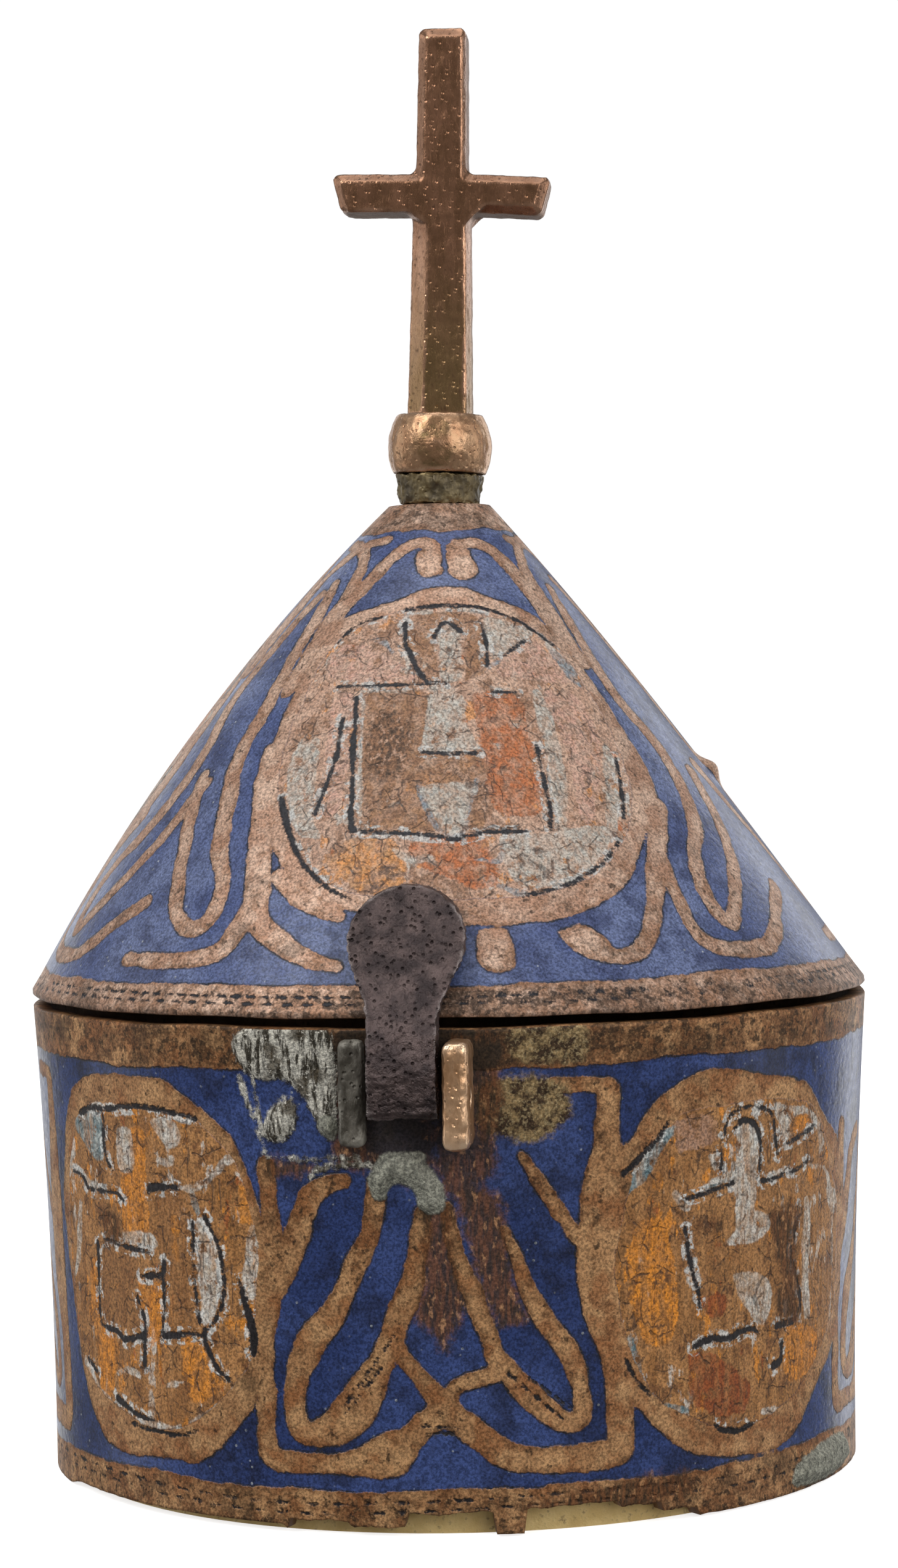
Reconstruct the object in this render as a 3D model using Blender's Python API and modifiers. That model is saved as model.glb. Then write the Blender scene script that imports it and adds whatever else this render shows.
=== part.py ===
"""Small enamelled copper pyx: a round box with a hinged conical lid, a clasp and a cross finial.

Metres, +Z up. The origin is the middle of the underside. The clasp faces -Y and the hinge is at +Y.
"""

import math

import bmesh
import bpy
from mathutils import Matrix, Vector

# Box
RIM_RADIUS = 0.0340
RIM_FLARE = 0.0013
BOX_HEIGHT = 0.0376
WALL = 0.0014
WALL_LIFT = 0.0002
BASE_THICKNESS = 0.0024
SEAT_GAP = 0.0003

# Where the wall's lower edge is broken away: from and to in degrees round the box, and how high
BREAKS = (
    (-17.0, -8.5, 0.0011),
    (-8.7, -1.0, 0.0008),
    (-1.2, 10.2, 0.0018),
    (14.2, 27.0, 0.0020),
    (26.8, 33.0, 0.0016),
    (32.8, 38.8, 0.0009),
)

# Lid
LID_SEAM = 0.0005
LID_HEIGHT = 0.0394
LID_BULGE = 0.00205
LID_EDGE = 0.0005
LID_WALL = 0.0014
NECK_RADIUS = 0.0042
LID_LEAN = -0.00015
LID_BOW = 0.00085

# Finial: a collar, a ball and a cross, leaning a little
FINIAL_LEAN_DEG = 1.5
COLLAR_HEIGHT = 0.0022
COLLAR_TOP_RADIUS = 0.00365
COLLAR_FOOT_RADIUS = 0.0033
KNOP_RADIUS = 0.0043
KNOP_CUT_BELOW = 0.0020
KNOP_CUT_ABOVE = 0.0025
KNOP_FACET_DEPTH = 0.00015
KNOP_FACET_TILT_DEG = 17.0
CROSS_HEIGHT = 0.0313
CROSS_THICKNESS = 0.0042
SHAFT_FOOT_HALF = 0.00268
SHAFT_NECK_HALF = 0.00240
TOP_ARM_FOOT_HALF = 0.00210
TOP_ARM_TIP_HALF = 0.00197
ARM_LEVEL = 0.0180
ARM_HALF_HEIGHT = 0.0016
ARM_REACH = 0.0090
ARM_UNDERCUT = 0.0008
RIGHT_ARM_DROOP = 0.0003
SHAFT_CHAMFER = 0.00140
ARM_CHAMFER = 0.00070
CORNER_CHAMFER = 0.00040

# Clasp and hinge share the pivot's height and its distance from the axis
PIVOT_BELOW_RIM = 0.00495
KNUCKLE_RADIUS = 0.00165
KNUCKLE_CLEARANCE = 0.0006
STRAP_HALF_WIDTH = 0.0026
STRAP_THICKNESS = 0.0014
SIDE_CLEARANCE = 0.0003
BEND_BELOW_LID = 0.0007
HASP_RISE = 0.0097
HASP_HEAD_RISE = 0.0055
HASP_HEAD_HALF = 0.0044
HASP_EYE_RADIUS = 0.0007
HASP_KNEE_THICKNESS = 0.00315
HASP_TOE_THICKNESS = 0.0025
HASP_KNEE_ABOVE_PIVOT = 0.0020
HASP_CORNER = 0.0006
HINGE_RISE = 0.0093
HINGE_HEAD_RISE = 0.0047
HINGE_HEAD_HALF = 0.0034
LUG_WIDTH = 0.0021
LUG_BELOW_RIM = 0.0008
LUG_HEIGHT = 0.0079
LUG_BEYOND_PIVOT = 0.00195
STUB_REACH = 0.0015
LUG_ROUNDING = 0.0006
PIN_RADIUS = 0.0008
PIN_CLEARANCE = 0.0001
PIN_HEAD_RADIUS = 0.0012
PIN_HEAD_LENGTH = 0.0005

# How finely round shapes are divided
TURNED_STEPS = 96
SMALL_STEPS = 32
HOLE_STEPS = 20
WALL_PROFILE_STEPS = 5
LID_PROFILE_STEPS = 9
HEAD_STEPS = 14
TAPER_STEPS = 4

FOOT_RADIUS = RIM_RADIUS - RIM_FLARE
RIM_LEVEL = BOX_HEIGHT
LID_LEVEL = RIM_LEVEL + LID_SEAM
NECK_LEVEL = LID_LEVEL + LID_HEIGHT
PIVOT_LEVEL = RIM_LEVEL - PIVOT_BELOW_RIM
LUG_TOP = RIM_LEVEL - LUG_BELOW_RIM
LUG_FOOT = LUG_TOP - LUG_HEIGHT
CUT_ROOM = 0.004
FAR_CUT = 0.012
MERGE = 0.00001


def wall_radius(level):
    """Outer radius of the box at a level: it flares towards the rim."""
    return FOOT_RADIUS + RIM_FLARE * (level / BOX_HEIGHT) ** 2


# The straps' inner face clears the widest part of the wall that it passes
STRAP_REACH = max(RIM_RADIUS, wall_radius(LUG_FOOT)) + KNUCKLE_CLEARANCE
PIVOT_REACH = STRAP_REACH + KNUCKLE_RADIUS


def lid_point(share):
    """Radius and level on the lid's outer face, from the neck at 0 to the lower edge at 1."""
    drop = (LID_HEIGHT - LID_EDGE) * share - 4 * LID_BULGE * share * (1 - share)
    return Vector((NECK_RADIUS + (RIM_RADIUS - NECK_RADIUS) * share, NECK_LEVEL - drop))


def lid_drift(level):
    """Sideways shift of the hand-raised lid's middle: it bows and leans to the left."""
    share = (level - LID_LEVEL) / LID_HEIGHT
    return LID_LEAN * share - 4 * LID_BOW * share * (1 - share)


def lid_normal(share):
    """Outward direction square to the lid's face, as radius and level."""
    step = 0.001
    along = lid_point(share + step) - lid_point(share - step)
    return Vector((-along.y, along.x)).normalized()


def lid_share_at(level):
    """The share at which the lid's outer face has this level."""
    low, high = 0.0, 1.0
    for _ in range(40):
        middle = (low + high) / 2
        if lid_point(middle).y > level:
            low = middle
        else:
            high = middle
    return low


def clear_scene():
    for thing in list(bpy.data.objects):
        bpy.data.objects.remove(thing, do_unlink=True)


def new_collection(name):
    made = bpy.data.collections.new(name)
    bpy.context.scene.collection.children.link(made)
    return made


def new_material(name, colour, roughness, metallic):
    made = bpy.data.materials.new(name)
    made.use_nodes = True
    shader = made.node_tree.nodes["Principled BSDF"]
    shader.inputs["Base Color"].default_value = (*colour, 1.0)
    shader.inputs["Roughness"].default_value = roughness
    shader.inputs["Metallic"].default_value = metallic
    return made


def place(thing, collection, material=None):
    """Puts an object in its collection, with its material."""
    for holder in list(thing.users_collection):
        holder.objects.unlink(thing)
    collection.objects.link(thing)
    if material:
        thing.data.materials.clear()
        thing.data.materials.append(material)
    return thing


def as_cutter(thing, cutters):
    place(thing, cutters)
    thing.hide_render = True
    thing.display_type = "WIRE"
    return thing


def boolean(thing, other, operation):
    made = thing.modifiers.new(f"{operation.lower()} {other.name}", "BOOLEAN")
    made.operation = operation
    made.object = other
    made.solver = "EXACT"
    return made


def turned(name, profile, steps, closed):
    """A turned shape: the profile lists radius and level, down the outer side and up the inner one."""
    mesh = bpy.data.meshes.new(name)
    count = len(profile)
    edges = [(i, i + 1) for i in range(count - 1)]
    if closed:
        edges.append((count - 1, 0))
    mesh.from_pydata([(radius, 0.0, level) for radius, level in profile], edges, [])
    made = bpy.data.objects.new(name, mesh)
    bpy.context.scene.collection.objects.link(made)
    screw = made.modifiers.new("turn", "SCREW")
    screw.axis = "Z"
    screw.angle = math.tau
    screw.steps = steps
    screw.render_steps = steps
    screw.use_merge_vertices = True
    screw.merge_threshold = MERGE
    return made


def baked(thing):
    """The object with its modifiers applied, or a curve made into a mesh with welded caps."""
    bpy.context.view_layer.update()
    evaluated = thing.evaluated_get(bpy.context.evaluated_depsgraph_get())
    mesh = bpy.data.meshes.new_from_object(evaluated)
    work = bmesh.new()
    work.from_mesh(mesh)
    bmesh.ops.remove_doubles(work, verts=work.verts, dist=MERGE)
    bmesh.ops.recalc_face_normals(work, faces=work.faces)
    work.to_mesh(mesh)
    work.free()
    name, place_in_world = thing.name, thing.matrix_world.copy()
    bpy.data.objects.remove(thing, do_unlink=True)
    made = bpy.data.objects.new(name, mesh)
    made.matrix_world = place_in_world
    bpy.context.scene.collection.objects.link(made)
    return made


def prism(name, outline, half_thickness):
    """A flat outline in the local XY plane, thickened both ways along local Z."""
    curve = bpy.data.curves.new(name, "CURVE")
    curve.dimensions = "2D"
    curve.fill_mode = "BOTH"
    curve.extrude = half_thickness
    line = curve.splines.new("POLY")
    line.points.add(len(outline) - 1)
    for point, (across, up) in zip(line.points, outline):
        point.co = (across, up, 0.0, 1.0)
    line.use_cyclic_u = True
    made = bpy.data.objects.new(name, curve)
    bpy.context.scene.collection.objects.link(made)
    return baked(made)


def stand_up(thing, local_x, local_y, origin=(0, 0, 0)):
    """Turns a prism so that its local X and Y point along two world directions."""
    x, y = Vector(local_x), Vector(local_y)
    turn = Matrix((x, y, x.cross(y))).transposed().to_4x4()
    thing.matrix_world = Matrix.Translation(origin) @ turn
    return thing


def cylinder_along_x(name, radius, length, level, reach, steps):
    """A round bar along X, whose middle is at this level and this far along Y."""
    bpy.ops.mesh.primitive_cylinder_add(vertices=steps, radius=radius, depth=length)
    made = bpy.context.object
    made.name = name
    made.matrix_world = Matrix.Translation((0, reach, level)) @ Matrix.Rotation(math.pi / 2, 4, "Y")
    return made


def box(name, size, middle, turn=0.0):
    bpy.ops.mesh.primitive_cube_add(size=1.0)
    made = bpy.context.object
    made.name = name
    made.data.transform(Matrix.Diagonal((*size, 1.0)))
    made.matrix_world = Matrix.Rotation(turn, 4, "Z") @ Matrix.Translation(middle)
    return made


def body_wall(parts, cutters, material):
    """The enamelled copper tube, its lower edge broken in places."""
    foot = WALL_LIFT
    levels = [
        RIM_LEVEL + (foot - RIM_LEVEL) * i / WALL_PROFILE_STEPS for i in range(WALL_PROFILE_STEPS + 1)
    ]
    outer = [(wall_radius(level), level) for level in levels]
    inner = [(radius - WALL, level) for radius, level in reversed(outer)]
    made = baked(turned("body_wall", outer + inner, TURNED_STEPS, closed=True))
    for number, (start, end, height) in enumerate(BREAKS):
        middle, spread = math.radians((start + end) / 2), math.radians(end - start)
        chord = 2 * FOOT_RADIUS * math.sin(spread / 2)
        size = (chord, 2 * CUT_ROOM + WALL, height + CUT_ROOM)
        gap = box(f"break_{number}", size, (0, -FOOT_RADIUS, (height - CUT_ROOM) / 2), middle)
        boolean(made, as_cutter(gap, cutters), "DIFFERENCE")
    return finished(made, parts, material)


def base_plate(parts, material):
    """The brass disc that closes the tube from inside."""
    radius = wall_radius(0) - WALL - SEAT_GAP
    bpy.ops.mesh.primitive_cylinder_add(
        vertices=TURNED_STEPS, radius=radius, depth=BASE_THICKNESS, location=(0, 0, BASE_THICKNESS / 2)
    )
    made = bpy.context.object
    made.name = "base_plate"
    return finished(made, parts, material)


def lid_cone(parts, material):
    """The enamelled conical lid: a shell that is closed at the neck and open below."""
    outer = [lid_point(i / LID_PROFILE_STEPS) for i in range(LID_PROFILE_STEPS + 1)]
    outer[0] = Vector((NECK_RADIUS, NECK_LEVEL))
    inner = []
    for i in reversed(range(1, LID_PROFILE_STEPS + 1)):
        share = i / LID_PROFILE_STEPS
        inner.append(lid_point(share) - lid_normal(share) * LID_WALL)
    roof = NECK_LEVEL - LID_WALL - LID_BULGE
    edge = [(RIM_RADIUS, LID_LEVEL), (RIM_RADIUS - LID_WALL, LID_LEVEL)]
    profile = [(0.0, NECK_LEVEL)] + [tuple(p) for p in outer] + edge + [tuple(p) for p in inner]
    profile.append((NECK_RADIUS - LID_WALL, roof))
    profile.append((0.0, roof))
    made = baked(turned("lid_cone", profile, TURNED_STEPS, closed=False))
    for vert in made.data.vertices:
        vert.co.x += lid_drift(vert.co.z)
    return finished(made, parts, material)


def finial(parts, cutters, collar_material, copper):
    """Collar, ball and cross, each standing on the one below."""
    lean = bpy.data.objects.new("finial", None)
    parts.objects.link(lean)
    lean.location = (lid_drift(NECK_LEVEL), 0, NECK_LEVEL)
    lean.rotation_euler = (0, math.radians(FINIAL_LEAN_DEG), 0)

    collar_foot = SEAT_GAP
    collar_top = collar_foot + COLLAR_HEIGHT
    bpy.ops.mesh.primitive_cone_add(
        vertices=SMALL_STEPS,
        radius1=COLLAR_FOOT_RADIUS,
        radius2=COLLAR_TOP_RADIUS,
        depth=COLLAR_HEIGHT,
        location=(0, 0, (collar_foot + collar_top) / 2),
    )
    collar = bpy.context.object
    collar.name = "collar"

    knop_foot = collar_top + SEAT_GAP
    knop_middle = knop_foot + KNOP_CUT_BELOW
    knop_top = knop_middle + KNOP_CUT_ABOVE
    bpy.ops.mesh.primitive_uv_sphere_add(
        segments=SMALL_STEPS, ring_count=SMALL_STEPS // 2, radius=KNOP_RADIUS, location=(0, 0, knop_middle)
    )
    knop = bpy.context.object
    knop.name = "knop"
    knop.data.transform(Matrix.Rotation(math.pi / SMALL_STEPS, 4, "Z"))
    slab = box("knop_slab", (FAR_CUT, FAR_CUT, knop_top - knop_foot), (0, 0, (knop_top + knop_foot) / 2))
    boolean(knop, as_cutter(slab, cutters), "INTERSECT")
    slab.parent = lean
    lift = Matrix.Translation((0, 0, knop_middle))
    tilt = Matrix.Rotation(-math.radians(KNOP_FACET_TILT_DEG), 4, "X")
    away = Matrix.Translation((0, -(KNOP_RADIUS - KNOP_FACET_DEPTH + CUT_ROOM / 2), 0))
    for name, turn in (("knop_facet_front", 0.0), ("knop_facet_back", math.pi)):
        facet = box(name, (CUT_ROOM, CUT_ROOM, CUT_ROOM), (0, 0, 0))
        facet.matrix_world = lift @ Matrix.Rotation(turn, 4, "Z") @ tilt @ away
        boolean(knop, as_cutter(facet, cutters), "DIFFERENCE")
        facet.parent = lean

    cross = prism("cross", cross_outline(), CROSS_THICKNESS / 2)
    weigh_cross_edges(cross)
    stand_up(cross, (1, 0, 0), (0, 0, 1), (0, 0, knop_top + SEAT_GAP))
    bevel = cross.modifiers.new("chamfers", "BEVEL")
    bevel.limit_method = "WEIGHT"
    bevel.width = SHAFT_CHAMFER
    bevel.segments = 1

    for thing, material in ((collar, collar_material), (knop, copper), (cross, copper)):
        finished(thing, parts, material)
        thing.parent = lean


def cross_outline():
    """Front view of the cross from its foot, going round from the lower right."""
    upper, lower = ARM_LEVEL + ARM_HALF_HEIGHT, ARM_LEVEL - ARM_HALF_HEIGHT
    return [
        (SHAFT_FOOT_HALF, 0.0),
        (SHAFT_NECK_HALF, lower),
        (ARM_REACH - ARM_UNDERCUT, lower - RIGHT_ARM_DROOP),
        (ARM_REACH, upper - RIGHT_ARM_DROOP),
        (TOP_ARM_FOOT_HALF, upper),
        (TOP_ARM_TIP_HALF, CROSS_HEIGHT),
        (-TOP_ARM_TIP_HALF, CROSS_HEIGHT),
        (-TOP_ARM_FOOT_HALF, upper),
        (-ARM_REACH, upper),
        (-ARM_REACH + ARM_UNDERCUT, lower),
        (-SHAFT_NECK_HALF, lower),
        (-SHAFT_FOOT_HALF, 0.0),
    ]


def weigh_cross_edges(cross):
    """Gives each sharp edge its own chamfer: wide on the shaft, narrow on the arms, none at the foot."""
    work = bmesh.new()
    work.from_mesh(cross.data)
    weights = work.edges.layers.float.new("bevel_weight_edge")
    sharp = math.radians(20)
    for edge in work.edges:
        if edge.calc_face_angle(0.0) < sharp:
            continue
        ends = [vert.co for vert in edge.verts]
        middle = (ends[0] + ends[1]) / 2
        if middle.y < MERGE:
            continue
        if abs(ends[0].z - ends[1].z) > MERGE:
            chamfer = 0.0 if min(middle.y, abs(middle.x)) < SHAFT_FOOT_HALF / 2 else CORNER_CHAMFER
        elif middle.y < ARM_LEVEL - ARM_HALF_HEIGHT - MERGE and abs(middle.x) < SHAFT_FOOT_HALF:
            chamfer = SHAFT_CHAMFER
        else:
            chamfer = ARM_CHAMFER
        edge[weights] = chamfer / SHAFT_CHAMFER
    work.to_mesh(cross.data)
    work.free()


def lug(name, side, facing, far, hole_radius, parts, cutters, wall_cutter, material):
    """One ear of the clasp or hinge, soldered to the wall. A hole radius of 0 leaves it undrilled."""
    inner = STRAP_HALF_WIDTH + SIDE_CLEARANCE
    near = wall_radius(PIVOT_LEVEL) - CUT_ROOM
    size = (LUG_WIDTH, far - near, LUG_TOP - LUG_FOOT)
    middle = (side * (inner + LUG_WIDTH / 2), facing * (near + far) / 2, (LUG_TOP + LUG_FOOT) / 2)
    made = box(name, size, middle)
    bevel = made.modifiers.new("rounding", "BEVEL")
    bevel.width = LUG_ROUNDING
    bevel.segments = 2
    made = baked(made)
    boolean(made, wall_cutter, "DIFFERENCE")
    if hole_radius:
        length = 2 * FAR_CUT
        hole = cylinder_along_x(
            f"{name}_hole", hole_radius, length, PIVOT_LEVEL, facing * PIVOT_REACH, HOLE_STEPS
        )
        boolean(made, as_cutter(hole, cutters), "DIFFERENCE")
    return finished(made, parts, material)


def strap_line(top, offset):
    """Points down the lid's face at this distance from it, from a level to the lid's lower edge."""
    start = lid_share_at(top)
    shares = [start + (1.0 - start) * i / TAPER_STEPS for i in range(TAPER_STEPS + 1)]
    return [tuple(lid_point(share) + lid_normal(share) * offset) for share in shares]


def head_outline(top, head_level, head_half, foot):
    """Front view of a strap: an oval head that narrows to the strap at the lid's edge."""
    right = []
    for i in range(HEAD_STEPS // 2):
        angle = math.pi / 2 - (math.pi / 2) * i / (HEAD_STEPS // 2)
        right.append((head_half * math.cos(angle), head_level + (top - head_level) * math.sin(angle)))
    for i in range(TAPER_STEPS + 1):
        share = i / TAPER_STEPS
        ease = (1 - math.cos(math.pi * share)) / 2
        half = head_half + (STRAP_HALF_WIDTH - head_half) * ease
        right.append((half, head_level + (LID_LEVEL - head_level) * share))
    right.append((STRAP_HALF_WIDTH, foot))
    left = [(-across, up) for across, up in reversed(right) if across > MERGE]
    return right + left


def strap(name, facing, side_profile, outline, parts, cutters, material):
    """A strap whose side view is cut to its front view."""
    half = max(across for across, _ in outline) + MERGE * 20
    made = prism(name, side_profile, half)
    stand_up(made, (0, facing, 0), (0, 0, 1))
    front = prism(f"{name}_outline", outline, FAR_CUT)
    stand_up(front, (1, 0, 0), (0, 0, 1), (0, facing * RIM_RADIUS, 0))
    boolean(made, as_cutter(front, cutters), "INTERSECT")
    return finished(baked(made), parts, material)


def hasp(parts, cutters, material):
    """The iron clasp: an oval head on the lid and a thick eye that drops between the front lugs."""
    top = LID_LEVEL + HASP_RISE
    foot = PIVOT_LEVEL - KNUCKLE_RADIUS
    toe = STRAP_REACH + HASP_TOE_THICKNESS
    profile = strap_line(top, SEAT_GAP + STRAP_THICKNESS) + [
        (toe, LID_LEVEL - BEND_BELOW_LID),
        (STRAP_REACH + HASP_KNEE_THICKNESS, PIVOT_LEVEL + HASP_KNEE_ABOVE_PIVOT),
        (toe, foot + HASP_CORNER),
        (toe - HASP_CORNER, foot),
        (STRAP_REACH + HASP_CORNER, foot),
        (STRAP_REACH, foot + HASP_CORNER),
        (STRAP_REACH, RIM_LEVEL),
    ]
    profile += reversed(strap_line(top, SEAT_GAP))
    outline = head_outline(top, LID_LEVEL + HASP_HEAD_RISE, HASP_HEAD_HALF, foot - CUT_ROOM)
    made = strap("hasp", -1, profile, outline, parts, cutters, material)
    eye = cylinder_along_x("hasp_eye", HASP_EYE_RADIUS, FAR_CUT, PIVOT_LEVEL, -PIVOT_REACH, HOLE_STEPS)
    boolean(made, as_cutter(eye, cutters), "DIFFERENCE")
    return made


def hinge_strap(parts, cutters, material):
    """The hinge's moving leaf: a strap on the back of the lid, curled round the pin."""
    top = LID_LEVEL + HINGE_RISE
    profile = strap_line(top, SEAT_GAP + STRAP_THICKNESS) + [
        (STRAP_REACH + STRAP_THICKNESS, LID_LEVEL - BEND_BELOW_LID),
        (STRAP_REACH + STRAP_THICKNESS, PIVOT_LEVEL),
        (STRAP_REACH, PIVOT_LEVEL),
        (STRAP_REACH, RIM_LEVEL),
    ]
    profile += reversed(strap_line(top, SEAT_GAP))
    foot = PIVOT_LEVEL - CUT_ROOM
    outline = head_outline(top, LID_LEVEL + HINGE_HEAD_RISE, HINGE_HEAD_HALF, foot)
    made = strap("hinge_strap", 1, profile, outline, parts, cutters, material)
    width = 2 * STRAP_HALF_WIDTH
    knuckle = cylinder_along_x("hinge_knuckle", KNUCKLE_RADIUS, width, PIVOT_LEVEL, PIVOT_REACH, SMALL_STEPS)
    boolean(made, as_cutter(knuckle, cutters), "UNION")
    bore = PIN_RADIUS + PIN_CLEARANCE
    hole = cylinder_along_x("hinge_bore", bore, FAR_CUT, PIVOT_LEVEL, PIVOT_REACH, HOLE_STEPS)
    boolean(made, as_cutter(hole, cutters), "DIFFERENCE")
    return made


def hinge_pin(parts, material):
    """The hinge's pin, with a flattened head outside each lug."""
    shank = STRAP_HALF_WIDTH + SIDE_CLEARANCE + LUG_WIDTH + PIN_CLEARANCE
    end = shank + PIN_HEAD_LENGTH
    profile = [
        (0.0, end),
        (PIN_HEAD_RADIUS - PIN_CLEARANCE, end),
        (PIN_HEAD_RADIUS, shank + PIN_HEAD_LENGTH / 2),
        (PIN_HEAD_RADIUS, shank),
        (PIN_RADIUS, shank),
    ]
    profile += [(radius, -level) for radius, level in reversed(profile)]
    made = baked(turned("hinge_pin", profile, HOLE_STEPS, closed=False))
    made.matrix_world = Matrix.Translation((0, PIVOT_REACH, PIVOT_LEVEL)) @ Matrix.Rotation(
        math.pi / 2, 4, "Y"
    )
    return finished(made, parts, material)


def finished(thing, parts, material):
    """Shades a piece and puts it with the others."""
    thing.data.shade_smooth()
    thing.data.set_sharp_from_angle(angle=math.radians(35))
    return place(thing, parts, material)


def main():
    clear_scene()
    parts = new_collection("pyx")
    cutters = new_collection("cutters")
    cutters.hide_render = True

    enamel = new_material("enamelled_copper", (0.10, 0.14, 0.34), 0.38, 0.2)
    copper = new_material("worn_copper", (0.42, 0.25, 0.16), 0.42, 0.85)
    brass = new_material("brass", (0.62, 0.50, 0.22), 0.45, 0.9)
    iron = new_material("dark_iron", (0.12, 0.10, 0.10), 0.55, 0.7)
    solder = new_material("dark_collar", (0.14, 0.12, 0.08), 0.6, 0.5)

    body_wall(parts, cutters, enamel)
    base_plate(parts, brass)
    lid_cone(parts, enamel)
    finial(parts, cutters, solder, copper)

    levels = [LUG_TOP + CUT_ROOM, LUG_TOP, PIVOT_LEVEL, LUG_FOOT, LUG_FOOT - CUT_ROOM]
    profile = [(0.0, levels[0])]
    profile += [(wall_radius(level) + SEAT_GAP, level) for level in levels]
    profile.append((0.0, levels[-1]))
    wall_cutter = as_cutter(baked(turned("wall_cutter", profile, TURNED_STEPS, closed=False)), cutters)
    bore = PIN_RADIUS + PIN_CLEARANCE
    whole = PIVOT_REACH + LUG_BEYOND_PIVOT
    # The clasp's left lug is worn away to a stub, so its hole is gone
    stub = wall_radius(PIVOT_LEVEL) + STUB_REACH
    for name, side, facing, far, hole in (
        ("clasp_lug_right", 1, -1, whole, HASP_EYE_RADIUS),
        ("clasp_lug_left", -1, -1, stub, 0.0),
        ("hinge_lug_right", 1, 1, whole, bore),
        ("hinge_lug_left", -1, 1, whole, bore),
    ):
        lug(name, side, facing, far, hole, parts, cutters, wall_cutter, copper)
    hasp(parts, cutters, iron)
    hinge_strap(parts, cutters, iron)
    hinge_pin(parts, iron)


main()
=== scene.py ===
"""Looks of the enamelled copper pyx: worn enamel skins, aged metal, floor, lights and camera.

Sizes in the pattern tables are millimetres. The clasp faces -Y.
"""
import math

import bmesh
import bpy
import numpy as np
from mathutils import Matrix, Vector, noise


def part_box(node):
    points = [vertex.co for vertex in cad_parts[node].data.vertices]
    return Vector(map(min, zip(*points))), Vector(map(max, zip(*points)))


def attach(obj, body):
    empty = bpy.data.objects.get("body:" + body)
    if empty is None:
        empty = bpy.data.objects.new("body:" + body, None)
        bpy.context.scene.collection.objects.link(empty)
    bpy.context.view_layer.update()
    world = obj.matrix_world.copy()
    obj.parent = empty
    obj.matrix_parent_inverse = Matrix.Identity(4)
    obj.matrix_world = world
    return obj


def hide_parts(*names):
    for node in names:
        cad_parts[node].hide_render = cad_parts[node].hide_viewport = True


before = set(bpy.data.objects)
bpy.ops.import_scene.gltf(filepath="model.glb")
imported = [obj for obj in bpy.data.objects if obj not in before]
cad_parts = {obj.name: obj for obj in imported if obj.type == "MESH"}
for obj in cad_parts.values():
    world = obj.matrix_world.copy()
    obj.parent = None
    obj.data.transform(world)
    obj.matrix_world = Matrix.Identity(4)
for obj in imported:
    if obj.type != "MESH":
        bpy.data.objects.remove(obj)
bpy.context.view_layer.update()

MM = 0.001
# How far from a shape its distance still counts
FAR = 3.0

# The same surfaces as the solids
RIM_RADIUS, FOOT_RADIUS, BOX_HEIGHT = 34.0, 32.7, 37.6
WALL, WALL_LIFT = 1.4, 0.2
LID_LEVEL, LID_HEIGHT, LID_BULGE, LID_EDGE, NECK_RADIUS = 38.1, 39.4, 2.05, 0.5, 4.2
NECK_LEVEL = LID_LEVEL + LID_HEIGHT
LID_LEAN, LID_BOW = -0.15, 0.85
# Breaks of the foot: where each starts and ends, in degrees from the clasp, and how high it reaches
BREAKS = (
    (-17.0, -8.5, 1.1), (-8.7, -1.0, 0.8), (-1.2, 10.2, 1.8),
    (14.2, 27.0, 2.0), (26.8, 33.0, 1.6), (32.8, 38.8, 0.9),
)
FOOT_LIFT, FOOT_MENDED = 0.5, 3.5
# The sheets that the patterns are drawn on: the box's radius, the length of the lid's face, how far
# its apex lies above the neck, and how much of a turn is left when its cone is unrolled
PATTERN_RADIUS = 33.3
LID_SLANT, LID_APEX, LID_UNROLL = 48.6, 6.85, 0.613
LAYERS = ("copper", "field", "robe", "red", "orange", "pink", "pale", "teal", "dark", "gilt", "worn",
          "crust", "lead")
# Levels on the box and distances down the lid where the bare copper bands start
BOX_BAND_FOOT, BOX_BAND_RIM = 3.3, 34
LID_BAND_NECK, LID_BAND_RIM = 3.5, 46.9
# Where the pattern comes round again, in degrees
ALL_SIDES, FRONT_AND_BACK, LID_SIDES = (0, 90, 180, 270), (0, 180), (0, 122.5, 245)
# Rows of each skin, and how far apart its columns stand in front and behind, in degrees
BOX_ROWS, BOX_INSIDE_ROWS, BOX_SPACING = 150, 14, (0.44, 1.1)
LID_ROWS, LID_INSIDE_STEP, LID_SPACING = 172, 12, (0.48, 1.3)
FRONT_START, FRONT_END = -88.0, 98.0
# the last value is the grime_and_shade given to the plain rows: the rims and the insides
DENT, RIM_ROUND, PLAIN_GRIME_AND_SHADE = 0.22, 0.12, 0.7
# The small lump on the lid's right side: its level and how far it pushes the face out
LUMP_LEVEL, LUMP_PUSH = 55.5, (0.62, 0, 0.5)
# The studio, in metres, and the camera's film height in millimetres, beside the photo's height
FLAT_FLOOR, BEND, BOWL_SIDES, AIM = 0.9, 1.4, 64, (0, 0, 0.06)
SENSOR, FOCAL_PIXELS, PHOTO_PIXELS = 36, 5710, 2541

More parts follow.
